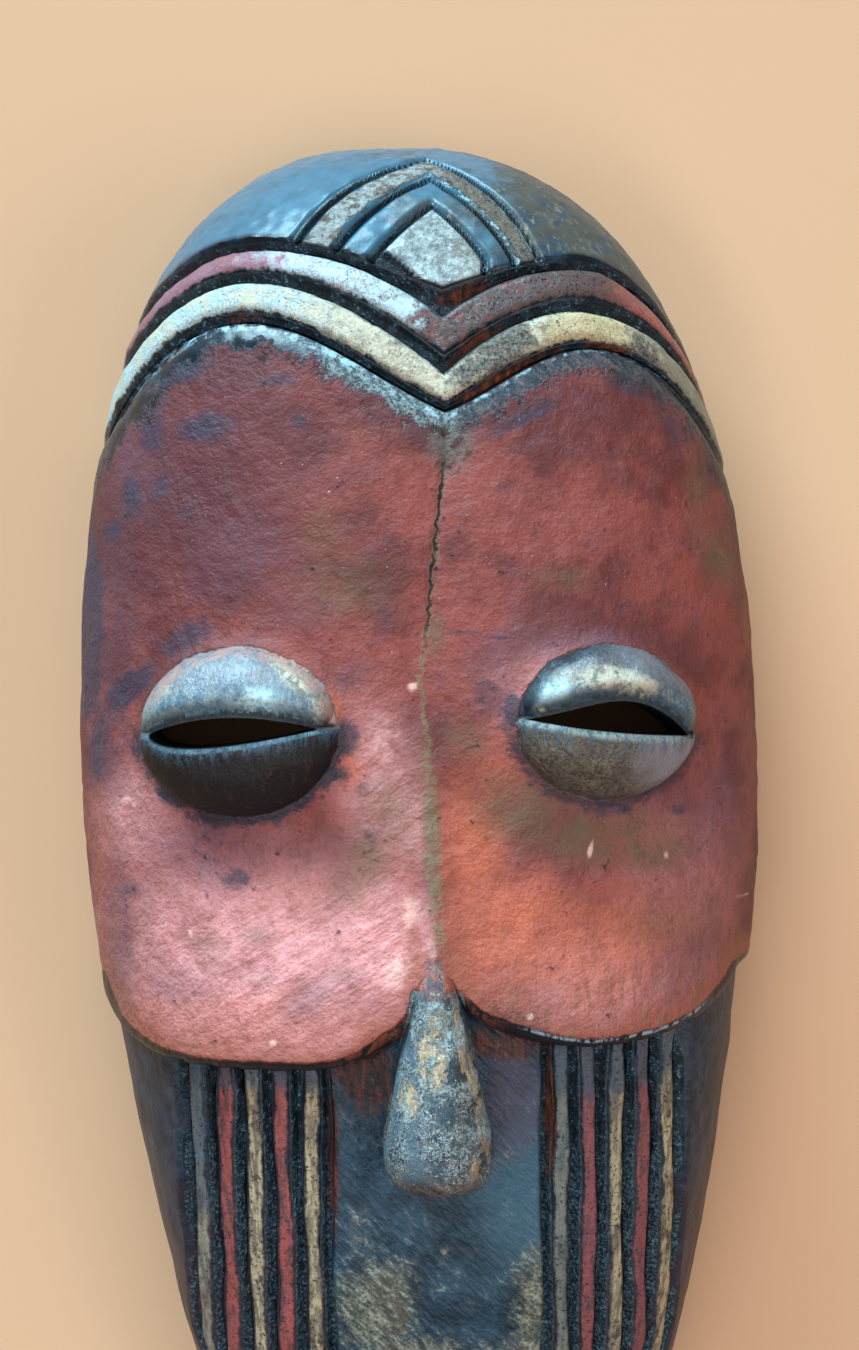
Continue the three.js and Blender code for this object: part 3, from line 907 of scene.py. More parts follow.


# Stains, bare places and worn places, and spots of painted sheen and shade, each with its middle, half-sizes,
# slant in degrees and strength

SPOTS = {
    "dark_spot": [
        (-59.5, 107.5, 4, 8, 20, 0.8),
        (-47, 107, 9, 4.5, 5, 0.8),
        (-26.6, 106.7, 2.4, 2.4, 0, 0.7),
        (-30, 116, 5, 2.5, 0, 0.7),
        (-64.5, 94, 3.5, 6, 0, 0.8),
        (-57.4, 94.8, 3, 4.5, 0, 0.7),
        (-51.7, 88.4, 7, 1.8, 10, 0.6),
        (-69.3, 86.2, 3.4, 3.4, 0, 0.8),
        (-52, 62, 8, 4.2, 35, 0.8),
        # A long strip down the left side, partly dark patina and partly painted shade where the plate turns
        # away
        (-77, 66, 5.5, 26, 0, 1.2),
        (-66, 51, 11, 4, 38, 0.9),
        (-74, 38, 5, 12, 0, 0.8),
        (-17.5, 40, 3, 5, 0, 1),
        (-20, 33, 3, 4, 40, 0.8),
        (17.6, 45, 2.6, 5, 10, 1),
        (19, 36, 1.6, 4, 35, 0.7),
        (-56, 27, 6, 2.6, -35, 0.9),
        (-53, 120, 9, 4, 12, 0.9),
        (-58.5, 114, 5, 5, 0, 0.7),
        (-70.4, 53.3, 5, 5, 0, 0.5),
        (37.8, 23.2, 7, 2.5, 0, 0.7),
        (55.2, 22.3, 4, 2, 0, 0.7),
        (-14.7, 28.4, 3, 3, 0, 0.5),
        (-13.1, 19.4, 3, 3, 0, 0.5),
        (-42, 9.8, 4.5, 2.8, 10, 0.8),
        (-66.2, 6.1, 5, 2.5, 0, 0.6),
        (-67.1, -4.2, 2.4, 8, 0, 0.5),
        (11.5, 49, 4, 4, 0, 0.6),
        (12, 46, 7, 5, 0, 0.6),
        (47.1, 27.3, 2, 1.5, 0, 0.9),
        (10.5, 61, 9, 0.7, -4, 1),
        (21, 107, 12, 2.4, 27, 0.8),
        (45, 115, 9, 3, -12, 0.7),
        (56, 106, 4, 8, 35, 0.6),
        (-37, -12, 6, 2.4, 40, 0.5),
    ],
    "violet_spot": [
        (-40, 78, 12, 8, 25, 0.5),
        (-26.6, 66.2, 8, 5, 0, 0.4),
        (-16.3, 53.5, 5, 4, 0, 0.5),
        (-48.5, 17, 16, 9, -8, 0.7),
        (34.6, 25, 15, 4, -8, 0.6),
        (-56, -14, 9, 5, 0, 0.4),
        (-27, -15, 8, 4, 35, 0.5),
        (56, -12, 13, 7, 30, 0.5),
        # Strips down the sides, here and at (-64, 100), (62, -60), (-70, 60) and (66, 20), are partly violet
        # patina and partly painted shade where the surface turns away
        (-69.4, -2, 4, 20, 0, 0.6),
        (30, 60, 16, 3, 0, 0.6),
        (14.8, 57.8, 7, 4, 0, 0.5),
        (17, -40, 8, 17, 0, 1),
        (-64, 100, 9, 14, 0, 0.5),
        (62, -60, 7, 36, 0, 0.4),
        (-70, 60, 8, 30, 0, 0.5),
        (66, 20, 10, 20, 0, 0.5),
    ],
    "olive_spot": [
        (-22.4, 82.9, 4.5, 5.5, 0, 0.5),
        (61.8, 94, 3.5, 7, 0, 0.7),
        (60.1, 85, 3, 4, 0, 0.5),
        (67.3, 78.4, 6, 8, 0, 0.8),
        (29, 73, 7, 2.5, 0, 0.5),
        (1.4, 61.8, 1.8, 5, 0, 0.9),
        (-17, 72, 11, 7, 0, 0.5),
        (7.7, 39.4, 6, 5, 0, 0.5),
        (20, 24, 12, 8, -10, 0.8),
        (38, 17.5, 16, 6.5, -5, 0.9),
        (-9, 24, 6, 10, 10, 0.6),
        (48, 13.5, 9, 4.5, -5, 0.9),
        (-49.1, -4.4, 4.5, 3, 0, 0.5),
        (-37.3, -2.1, 4, 2.4, 0, 0.5),
        (-13.4, 14.3, 5, 7, 0, 0.7),
        (-18.2, 8.3, 5, 5, 0, 0.6),
        (-0.4, 19, 2.2, 13, 2, 1),
        (-2, 33, 2.5, 8, 0, 0.5),
        (14.2, 26.1, 5, 4, 0, 0.6),
        (50, -2, 12, 5, 0, 0.4),
    ],
    "orange_spot": [
        (14, 30, 8, 9, 0, 0.5),
        (8, 14, 9, 18, 0, 0.8),
        (16, -2, 16, 14, 0, 0.85),
        (34, -6, 22, 12, 0, 0.7),
        (50, -4, 12, 10, 0, 0.4),
        (-20.8, 44, 2.4, 6, 0, 0.9),
        (-18.5, 34, 3.5, 6, 30, 0.9),
        (-45, -21, 26, 7, 0, 0.35),
    ],
    # Pink that is partly the paint's own and partly painted sheen, most on the lower left cheek and beside
    # the nose
    "pink_and_sheen_spot": [
        (-38, -8, 38, 24, 8, 0.85),
        (-12, -4, 14, 16, 30, 0.9),
        (-63, 22, 14, 14, 0, 0.5),
        (-10, 28, 12, 20, 20, 0.6),
        (22, 48, 16, 14, 0, 0.25),
        (56, 6, 16, 20, 0, 0.3),
        (36, -14, 30, 12, 0, 0.4),
    ],
    # Pale specks and patches, partly scratches and partly painted sheen and glint, and painted highlights on
    # the upper lids
    "pale_sheen_and_scratch_spot": [
        (-52.6, -2.4, 0.9, 0.9, 0, 1),
        (-34.7, -24.8, 1.1, 0.9, 0, 1),
        (33.9, 14.6, 0.7, 2, -20, 1),
        (51.3, 12.5, 2.2, 0.5, -35, 0.7),
        (-10.4, 39.7, 6, 7, 0, 0.35),
        (19.8, -20, 1, 0.8, 0, 1),
        (-0.6, -5, 1.4, 5, 0, 0.5),
        (72.4, 1, 4, 0.7, 5, 0.6),
        (-3.7, 50.3, 1.5, 1, 0, 1),
        (-66, 26, 5, 1.2, -20, 0.6),
        (-37, 48.5, 6, 3, -10, 0.8),
        (25, 49, 5, 2.4, 20, 0.7),
        (-5, 3, 2.5, 5, 0, 0.6),
        (-8, -10, 5, 4, 30, 0.6),
    ],
    "bare_spot": [
        (10, 134.5, 7, 3, 15, 1),
        (11, 121.5, 9, 4, 38, 1),
        (17, 115.5, 14, 5, 28, 1),
        (41, 124.3, 7, 2.4, 0, 1),
        (-19, 128.5, 9, 2.4, -32, 0.8),
        (-38, 131, 7, 2, 0, 0.5),
        (-16, -32, 8, 11, 20, 1),
        (14, -27, 12, 4, -10, 1),
        (25.3, -44, 1.6, 18, 0, 1),
        (-22.5, -52, 1.5, 20, 0, 1),
        (5, 97, 4, 3, 0, 0.7),
    ],
    "worn_spot": [
        (15, 121, 13, 5, 30, 1),
        (50, 123, 8, 4, -25, 0.6),
        (22, 136, 16, 5, 12, 0.9),
        (36, 139, 10, 3, 0, 0.6),
        (-2, 127, 9, 5, -25, 0.9),
        (-18, 137, 15, 1.8, -20, 0.8),
        (15, 160, 12, 5, -40, 0.5),
        (24, 148, 4, 8, 10, 0.7),
        (5, 101, 7, 7, 0, 0.8),
        (-60, 116, 5, 3, 45, 0.4),
    ],
    "cream_spot": [
        (-29, 54, 8, 3.6, -40, 0.9),
        (-22, 44, 4, 6, 0, 0.7),
        (-57, 50, 5, 2, 35, 0.5),
        (40, 51, 11, 3.2, -14, 1),
        (30, 52, 5, 4, 0, 0.6),
        (23, 45, 2.4, 1.8, 0, 0.8),
        (-1.6, -27, 3.4, 6.5, 10, 1),
        (-6.4, -35.5, 2.2, 4, 0, 1),
        (4.6, -24, 1.1, 9, 6, 1),
        (6.6, -31, 1.4, 6, 14, 1),
        (9, -42, 1.3, 8, 8, 1),
        (-0.3, -20, 3, 4, 0, 0.6),
        (7, -50, 2, 4, 0, 0.6),
    ],
    "bloom_spot": [
        (-14, -86, 11, 15, -15, 0.9),
        (-5, -98, 12, 7, 0, 0.9),
        (21, -88, 6, 19, 0, 0.9),
        (13, -103, 13, 9, 0, 0.8),
        (-12, -110, 13, 12, 0, 0.7),
        (1, -72.6, 1.6, 1.2, -30, 1),
        (-17, -66, 5, 6, 0, 0.4),
    ],
}


SPOT_CORE = 0.2
SPOT_FADE = 1.5


def spot_share(spots, x, y):
    """How far each place lies inside the strongest of some spots."""
    total = np.zeros_like(x)
    for middle_x, middle_y, half_x, half_y, slant, strength in spots:
        angle = math.radians(slant)
        along = (x - middle_x) * math.cos(angle) + (y - middle_y) * math.sin(angle)
        aside = (y - middle_y) * math.cos(angle) - (x - middle_x) * math.sin(angle)
        reach = np.hypot(along / half_x, aside / half_y)
        total = np.maximum(total, strength * (1 - smooth(reach, SPOT_CORE, SPOT_FADE)))
    return total


# Fields: what the coats ask of each place on the mask

NEAREST = -30
FARTHEST = 60


def eye_fields(x, y):
    left = x < 0
    return {
        "eye": np.where(left, eye_distance(LEFT_EYE, x, y), eye_distance(RIGHT_EYE, x, y)),
        "lid": y - np.where(left, slit_line(LEFT_SLIT, x)[0], slit_line(RIGHT_SLIT, x)[0]),
        "slit": np.where(left, slit_distance(LEFT_SLIT, x, y), slit_distance(RIGHT_SLIT, x, y)),
    }


def carved_fields(x, y):
    top_cuts = np.maximum(band_depth(x, y), chevron_depth(x, y))
    return {
        "white": between(WHITE_LOW, WHITE_HIGH, x, y),
        "red": between(RED_LOW, RED_HIGH, x, y),
        "crown": (y - band_y(CROWN_EDGE, x)) * upright(CROWN_EDGE, x),
        "ring": chevron_size(x, np.minimum(y, HALF_LENGTH)),
        "rib": rib_distance(x, y),
        "rib_red": nearest_rib(np.abs(rib_place(x, y))) % 2,
        "place": rib_place(x, y),
        "carved": np.where(y > ledge_y(x), top_cuts, rib_depth(x, y)),
        "shoulder": kite_shoulder(x, y),
    }


def spot_fields(x, y):
    """The spots; the orange ones end at the crack from the right, and the pink ones from the left."""
    fields = {name: spot_share(spots, x, y) for name, spots in SPOTS.items()}
    past_crack = smooth(x - crack_x(y), -0.8, 0.8)
    fields["orange_spot"] *= 1 - (1 - past_crack) * smooth(x, -12, -6)
    fields["pink_and_sheen_spot"] *= 1 - 0.85 * past_crack * smooth(x, 16, 6)
    return fields


def paint_fields(points):
    x, y, z = points.T
    fields = eye_fields(x, y) | carved_fields(x, y) | spot_fields(x, y)
    fields["sideways"] = x
    fields["along"] = y
    below_edge = (band_y(PLATE_EDGE, x) - y) * upright(PLATE_EDGE, x)
    fields["top"] = np.clip(below_edge, NEAREST, FARTHEST)
    fields["ledge"] = np.clip(ledge_distance(x, y, z), NEAREST, FARTHEST)
    fields["crack"] = x - crack_x(y)
    fields["nose"] = nose_distance(x, y)
    fields["inside"] = inside_share(x, y, z)
    return fields


def write_fields(shape):
    places = np.empty(len(shape.data.vertices) * 3)
    shape.data.vertices.foreach_get("co", places)
    for name, values in paint_fields(places.reshape(-1, 3) * 1000).items():
        attribute = shape.data.attributes.new(name, "FLOAT", "POINT")
        attribute.data.foreach_set("value", values.astype(np.float32))


# Painted wood, written as a node tree by plain arithmetic on values


def new_material(name):
    """A material with its Principled BSDF."""
    material = bpy.data.materials.new(name)
    material.use_nodes = True
    return material


wood = new_material("painted_wood")
tree = wood.node_tree


class Value:
    """An output of a node, on which arithmetic adds more nodes."""

    def __init__(self, socket):
        self.socket = socket

    def __add__(self, other):
        return calculate("ADD", self, other)

    def __radd__(self, other):
        return calculate("ADD", other, self)

    def __sub__(self, other):
        return calculate("SUBTRACT", self, other)

    def __rsub__(self, other):
        return calculate("SUBTRACT", other, self)

    def __mul__(self, other):
        return calculate("MULTIPLY", self, other)

    def __truediv__(self, other):
        return calculate("DIVIDE", self, other)

    def __abs__(self):
        return calculate("ABSOLUTE", self, 0)


def add(kind, values=None, **settings):
    """A new node; a Value is linked to its input, and anything else is set on it."""
    node = tree.nodes.new(kind)
    for name, setting in settings.items():
        setattr(node, name, setting)
    for key, value in (values or {}).items():
        if isinstance(value, Value):
            tree.links.new(value.socket, node.inputs[key])
        else:
            node.inputs[key].default_value = value
    return node


def calculate(operation, first, second):
    return Value(add("ShaderNodeMath", {0: first, 1: second}, operation=operation).outputs[0])


def larger(first, second):
    return calculate("MAXIMUM", first, second)


def smaller(first, second):
    return calculate("MINIMUM", first, second)


def ramp(value, low, high):
    """0 below low, 1 above high, smooth between; low may be the greater."""
    limits = (high, low, 1, 0) if low > high else (low, high, 0, 1)
    node = add("ShaderNodeMapRange", {0: value}, interpolation_type="SMOOTHSTEP")
    for key, limit in enumerate(limits, start=1):
        node.inputs[key].default_value = limit
    return Value(node.outputs[0])


def paint(colour):
    """A colour as the nodes take it; plain ones are given as screen levels from 0 to 255."""
    if isinstance(colour, Value):
        return colour
    levels = [level / 255 for level in colour]
    linear = [v / 12.92 if v <= 0.04045 else ((v + 0.055) / 1.055) ** 2.4 for v in levels]
    return (*linear, 1)


def mix(share, first, second):
    """From one colour to another."""
    values = {0: share, 6: paint(first), 7: paint(second)}
    return Value(add("ShaderNodeMix", values, data_type="RGBA").outputs[2])


def blend(share, first, second):
    """From one number to another."""
    return Value(add("ShaderNodeMix", {0: share, 2: first, 3: second}, data_type="FLOAT").outputs[0])


def field(name):
    return Value(add("ShaderNodeAttribute", attribute_name=name).outputs["Fac"])


def noise(where, size, detail, roughness, distortion=0):
    values = {
        "Vector": where,
        "Scale": 1 / size,
        "Detail": detail,
        "Roughness": roughness,
        "Distortion": distortion,
    }
    return Value(add("ShaderNodeTexNoise", values).outputs["Fac"])


def stretched(where, length, turn):
    """Places drawn out by a length along a direction, as degrees from the X axis."""
    values = {"Vector": where, "Scale": (length, 1, 1), "Rotation": (0, 0, math.radians(turn))}
    return Value(add("ShaderNodeMapping", values, vector_type="TEXTURE").outputs["Vector"])


RED = (118, 57, 51)
RED_DEEP = (82, 36, 36)
RED_ORANGE = (166, 84, 58)
# Pink, partly the paint's own and partly painted sheen
RED_PINK_AND_SHEEN = (208, 144, 144)
CREAM = (166, 160, 142)
CREAM_DIRTY = (100, 98, 88)
BLUE_BLACK = (11, 22, 30)
SLATE = (30, 50, 66)
# Blue of the crown's left, partly painted reflection of the window
CROWN_BLUE_AND_SHEEN = (50, 86, 104)
CROWN_GREY = (54, 56, 52)
# Pale blue of painted highlights on edges
GLINT = (140, 172, 186)
WOOD = (96, 48, 28)
WOOD_DARK = (30, 16, 13)
OLIVE = (84, 68, 50)
VIOLET = (82, 54, 66)
# Dark of stains, and of painted shade round the lower parts of the eyes
STAIN_AND_SHADE = (40, 40, 56)
WORN = (84, 78, 74)
TAN = (150, 126, 98)
LID_BLUE = (66, 90, 104)
# Near black of the left lower lid, partly painted shade, and of the slits' cut walls, painted shade
LID_BROWN_AND_SHADE = (13, 8, 9)


class Paint:
    """The colour so far, its roughness and its fine height, built up coat by coat."""

    def __init__(self, colour, roughness, height_map):
        self.colour = colour
        self.roughness = roughness
        self.height = height_map

    def coat(self, share, colour, roughness=None, height_map=None):
        self.colour = mix(share, self.colour, colour)
        if roughness is not None:
            self.roughness = blend(share, self.roughness, roughness)
        if height_map is not None:
            self.height = blend(share, self.height, height_map)


class Grain:
    """Noises of several sizes that all the coats share, in millimetres."""

    def __init__(self):
        place = Value(add("ShaderNodeTexCoord").outputs["Object"])
        scaled = add("ShaderNodeVectorMath", {0: place, 1: (1000, 1000, 1000)}, operation="MULTIPLY")
        self.here = Value(scaled.outputs[0])
        self.cloud = noise(self.here, 24, 4, 0.6)
        self.patch = noise(self.here, 7, 4, 0.62)
        self.flake = noise(self.here, 2.4, 5, 0.65)
        self.grit = noise(self.here, 0.7, 3, 0.6)
        self.streak = noise(stretched(self.here, 6, 90), 1.6, 4, 0.65)
        self.ripple = noise(stretched(self.here, 3.5, 32), 2.6, 3, 0.55)
        self.lump = noise(self.here, 3.4, 2, 0.5)
        self.wrinkle = noise(self.here, 1.5, 4, 0.7, 1.2)
        self.slant = noise(stretched(self.here, 3, -48), 1.3, 4, 0.65)
        self.uneven = self.patch * 0.45 + self.flake * 0.4 + self.grit * 0.15
        centred = abs(self.wrinkle - 0.5)
        self.crackle = ramp(centred, 0.03, 0.012) * ramp(self.patch, 0.4, 0.55)


def ragged(distance, pattern, amount, softness=0.35):
    """Share of a paint inside an edge that wanders with a pattern."""
    moved = distance + (pattern - 0.5) * amount
    return ramp(moved, -softness, softness)


def spotted(name, grain, contrast=3):
    """A named spot with an uneven, broken edge."""
    spot = field(name)
    moved = spot + (grain.uneven - 0.5) * contrast
    return ramp(moved, 0.25, 0.85) * ramp(spot, 0, 0.15)


def within(name, low, high, blur):
    """1 where a named field lies between two values, fading over blur."""
    value = field(name)
    return ramp(value, low - blur, low + blur) * ramp(value, high + blur, high - blur)


# Coats of the whole mask and of the face plate


def blue_black_coat(grain):
    """Old dark paint; on the crown blue grey at the left, partly a painted reflection of the window, and grey
    brown at the right, both worn in patches.
    """
    colour = mix(ramp(grain.patch, 0.4, 0.75), BLUE_BLACK, SLATE)
    side = field("sideways") + (grain.cloud - 0.5) * 90
    side = side + (grain.flake - 0.5) * 30
    right = ramp(side, 0, 25)
    # The crown's left is blue partly as painted reflection of the window
    crown = mix(right, CROWN_BLUE_AND_SHEEN, CROWN_GREY)
    scratched = mix(ramp(grain.streak, 0.5, 0.62), SLATE, (98, 94, 82))
    crown_wear = ramp(grain.uneven, 0.44, 0.6) * blend(right, 0.35, 0.9)
    crown = mix(crown_wear, crown, mix(right, SLATE, scratched))
    on_crown = ramp(field("crown"), 0.5, 2)
    colour = mix(on_crown, colour, crown)
    roughness = blend(on_crown, blend(grain.flake, 0.16, 0.4), blend(grain.flake, 0.24, 0.38))
    roughness = blend(on_crown * right, roughness, blend(grain.flake, 0.34, 0.56))
    height_map = grain.grit * 0.08 + grain.flake * 0.22
    return Paint(colour, roughness, height_map)


def red_plate(grain, coats):
    """Red paint, glossy and rippled over the cheek and flecked with painted sparkle, that ends raggedly under
    the crown's bands.
    """
    top = field("top")
    wander = (grain.uneven - 0.5) * 16 + (grain.patch - 0.5) * 14
    bared = ramp(field("sideways"), -6, -34) * 2.4
    share = ramp(top + wander - bared, 2, 6)
    above_lip = ramp(field("ledge") + grain.flake, 0.2, 1)
    share = smaller(share, larger(above_lip, nose_root(grain)))
    share = smaller(share, ramp(top, 0.8, 2.4))
    pits = ramp(grain.flake, 0.65, 0.69) * ramp(grain.patch, 0.48, 0.6)
    colour = mix(pits * 0.7, red_stains_and_sheen(grain, red_tones(grain)), WOOD_DARK)
    # Painted highlights: light specks stand in for sparkle of light on the fine relief
    specks = ramp(grain.grit, 0.31, 0.27) * ramp(grain.flake, 0.5, 0.62)
    colour = mix(specks * 0.6, colour, (200, 172, 166))
    haze = ramp(top + wander, 11, 4) * ramp(field("sideways"), -30, 4)
    colour = mix(haze * 0.6, colour, (58, 38, 46))
    gloss = field("pink_and_sheen_spot")
    roughness = blend(gloss, blend(grain.flake, 0.46, 0.68), 0.3)
    fine = grain.flake * 1.1 + grain.grit * 0.5 - pits * 1.1
    height_map = grain.lump * 1.1 + fine + gloss * grain.ripple * 2.4
    coats.coat(share, colour, roughness, height_map)


def red_tones(grain):
    """Red that is deeper in clouds, darker at the upper left as painted shade, pink in places, partly as
    painted sheen, and orange in places.
    """
    colour = mix(ramp(grain.cloud, 0.4, 0.6), RED, RED_DEEP)
    colour = mix(ramp(grain.patch, 0.5, 0.68) * 0.3, colour, VIOLET)
    # Painted shade: the upper left of the forehead made darker
    shaded = ramp(field("sideways"), -8, -40) * ramp(field("along"), 50, 85) * 0.8
    colour = mix(shaded, colour, (68, 30, 36))
    colour = tinted(grain, colour, "pink_and_sheen_spot", RED_PINK_AND_SHEEN)
    colour = tinted(grain, colour, "orange_spot", RED_ORANGE)
    colour = mix(ramp(grain.flake, 0.5, 0.66) * 0.35, colour, RED_DEEP)
    return mix(ramp(grain.grit, 0.5, 0.62) * 0.25, colour, RED_DEEP)


def red_stains_and_sheen(grain, colour):
    """Brown low edge and drips, the stains from spot to spot, and pale spots that are partly scratches and
    partly painted sheen.
    """
    low_edge = ramp(field("ledge") + grain.patch * 8, 14, 4) * 0.7
    colour = mix(low_edge, colour, (126, 68, 52))
    reach = ramp(field("ledge") + grain.patch * 20, 36, 12)
    drips = ramp(grain.streak, 0.48, 0.62) * ramp(field("sideways"), 8, 20) * reach
    colour = mix(drips * 0.75, colour, (106, 72, 52))
    colour = tinted(grain, colour, "violet_spot", VIOLET)
    colour = tinted(grain, colour, "olive_spot", OLIVE)
    colour = spotted_tone(grain, colour, "dark_spot", STAIN_AND_SHADE, 0.8)
    return spotted_tone(grain, colour, "pale_sheen_and_scratch_spot", (206, 166, 158), 0.7)


def nose_root(grain):
    """1 over the top of the nose, where the plate's paint runs on to it."""
    along = field("along") + (grain.uneven - 0.5) * 12
    aside = abs(field("sideways"))
    return ramp(along, -17, -13) * ramp(aside, 7.5, 6)


def spotted_tone(grain, colour, name, stain, most):
    """A spot of colour with a broken edge: a stain where it is dark, and partly painted sheen where it is
    pale.
    """
    return mix(spotted(name, grain, 1.6) * most, colour, stain)


def tinted(grain, colour, name, tint):
    """A soft change of tone with light mottling."""
    mottled = 0.8 + (grain.uneven - 0.5) * 3.2
    return mix(field(name) * mottled, colour, tint)


def crack_line(grain, coats):
    """Thin dark split down the forehead that turns into a rubbed greenish line over the nose."""
    wander = (grain.uneven - 0.5) * 7
    crack = abs(field("crack") + wander)
    along = field("along")
    on_plate = ramp(along, -8, -4) * ramp(field("top"), -1, 0)
    reach = blend(ramp(along, 42, 28), 1, 2)
    worn = ramp(crack / reach, 1, 0.4) * ramp(grain.flake, 0.4, 0.54)
    coats.coat(on_plate * worn * 0.75, mix(grain.patch, OLIVE, (118, 102, 76)), 0.5)
    split = ramp(crack, 0.6, 0.2) * ramp(along, 52, 68) * ramp(grain.patch, 0.32, 0.44)
    coats.coat(on_plate * split, WOOD_DARK, 0.6)


def plate_rim(grain, coats):
    """Grey fringe at the plate's top, a pale line along its edge that is a painted highlight, and the dark
    lip of the ledge.
    """
    top = field("top")
    sideways = field("sideways")
    right = ramp(sideways, 4, 9)
    fringe_top = top + (grain.uneven - 0.5) * 22
    near_notch = ramp(sideways, -36, -16)
    fringe = ramp(fringe_top, 6, 3.2) * ramp(top, -0.5, 0.2) * near_notch
    fringe_right = mix(ramp(grain.slant, 0.44, 0.6), (34, 40, 50), (72, 66, 66))
    fringe_left = mix(ramp(grain.wrinkle, 0.42, 0.58), (50, 62, 68), (112, 126, 128))
    fringe_tone = mix(right, fringe_left, fringe_right)
    fringe_tone = mix(ramp(grain.grit, 0.54, 0.64), fringe_tone, BLUE_BLACK)
    coats.coat(fringe * 0.9, fringe_tone, 0.42, grain.wrinkle * 1.4)
    crust = spotted("worn_spot", grain) * ramp(top, 0, 1)
    crust_tone = mix(ramp(grain.flake, 0.44, 0.6), (86, 88, 82), (40, 36, 38))
    coats.coat(crust * 0.75, crust_tone, 0.5)
    # Painted highlight: a pale line along the plate's rounded top edge
    reach = blend(right, 2.4, 1.2)
    line = ramp(top, -0.8, 0.1) * ramp(top / reach, 1.1, 0.5)
    line = line * ramp(sideways, -72, -50) * ramp(sideways, 62, 34)
    coats.coat(line * ramp(grain.flake, 0.46, 0.6) * 0.75, GLINT, 0.3)
    ledge_lip(grain, coats)


def ledge_lip(grain, coats):
    """The dark rounded lip, bare beside the nose, with pale blue ticks at the right."""
    ledge = field("ledge") + (grain.flake - 0.5) * 1.6
    lip_share = ramp(ledge, -7, -5) * ramp(ledge, 1, 0.2)
    lip_share = lip_share * (1 - nose_root(grain))
    bare = ramp(grain.streak, 0.44, 0.6) * within("sideways", -22, 12, 5)
    lip_tone = mix(bare, (22, 20, 26), (92, 50, 36))
    coats.coat(lip_share, lip_tone, 0.34, grain.streak)
    splits = ramp(abs(grain.wrinkle - 0.5), 0.03, 0.012)
    splits = splits * within("sideways", 10, 23, 3) * within("ledge", 0, 4, 1.5)
    coats.coat(splits * 0.9, BLUE_BLACK, 0.5)
    ticks = within("ledge", -0.5, 0.6, 0.4) * within("sideways", 19, 60, 3)
    coats.coat(ticks * ramp(grain.streak, 0.42, 0.52) * 0.8, (128, 146, 160), 0.35)


# Coats of the brow bands and of the crown


def cream_coat(grain):
    """Old whitish paint, greyer and dirtier in patches, with crackle and dark specks, and bluish at the left
    as a painted reflection of the sky.
    """
    colour = mix(ramp(grain.flake, 0.46, 0.66) * 0.7, CREAM, CREAM_DIRTY)
    place = field("sideways") + (grain.uneven - 0.5) * 60
    # Painted reflection: pale blue on the band's left stands in for the sky's reflection
    sky_reflection_blue = ramp(grain.uneven, 0.44, 0.56) * ramp(place, -12, -30) * 0.85
    colour = mix(sky_reflection_blue, colour, (150, 174, 182))
    yellowed = ramp(place, 24, 30) * ramp(place, 54, 42)
    colour = mix(yellowed * 0.7, colour, (168, 152, 112))
    greyed = ramp(place, 40, 54) * 0.8
    colour = mix(greyed, colour, mix(grain.patch, (70, 72, 66), (132, 128, 108)))
    colour = mix(grain.crackle * 0.7, colour, (70, 66, 60))
    colour = mix(ramp(grain.grit, 0.6, 0.68) * 0.8, colour, BLUE_BLACK)
    worn = spotted("worn_spot", grain, 4)
    worn_tone = mix(ramp(grain.grit, 0.44, 0.58), WORN, BLUE_BLACK)
    return mix(worn * 0.85, colour, worn_tone)


def bands(grain, coats):
    """The cream band and the red band above it, both with ragged edges."""
    cream = cream_coat(grain)
    white = ragged(field("white") - 0.1, grain.uneven, 7)
    coats.coat(white, cream, 0.4, grain.wrinkle * 1.2 + grain.flake * 0.5)
    red = ragged(field("red") - 0.2, grain.uneven, 5)
    coats.coat(red, red_band_colour(grain), 0.26, grain.wrinkle * 0.7)


def red_band_colour(grain):
    """Mauve pink at the left; before the notch pale blue grey that is painted sheen, with pink patches and
    crackle; worn brown after it, then red.
    """
    place = field("sideways") + (grain.uneven - 0.5) * 60
    left = mix(ramp(grain.patch, 0.4, 0.65), (116, 82, 96), (116, 72, 78))
    # Painted sheen: pale blue grey stands in for the window's reflection, with pink where the paint has
    # peeled
    painted_sheen_and_pink = mix(ramp(grain.patch, 0.6, 0.72), (146, 162, 170), (150, 112, 116))
    painted_sheen_and_pink = mix(grain.crackle, painted_sheen_and_pink, (60, 50, 56))
    worn = mix(ramp(grain.flake, 0.5, 0.64), (70, 60, 60), (94, 60, 56))
    worn = mix(ramp(grain.grit, 0.56, 0.64), worn, BLUE_BLACK)
    red = mix(ramp(grain.flake, 0.46, 0.64), (140, 68, 64), (84, 60, 64))
    colour = mix(ramp(place, -38, -26), left, painted_sheen_and_pink)
    colour = mix(ramp(place, -6, 3), colour, worn)
    return mix(ramp(place, 38, 52), colour, red)


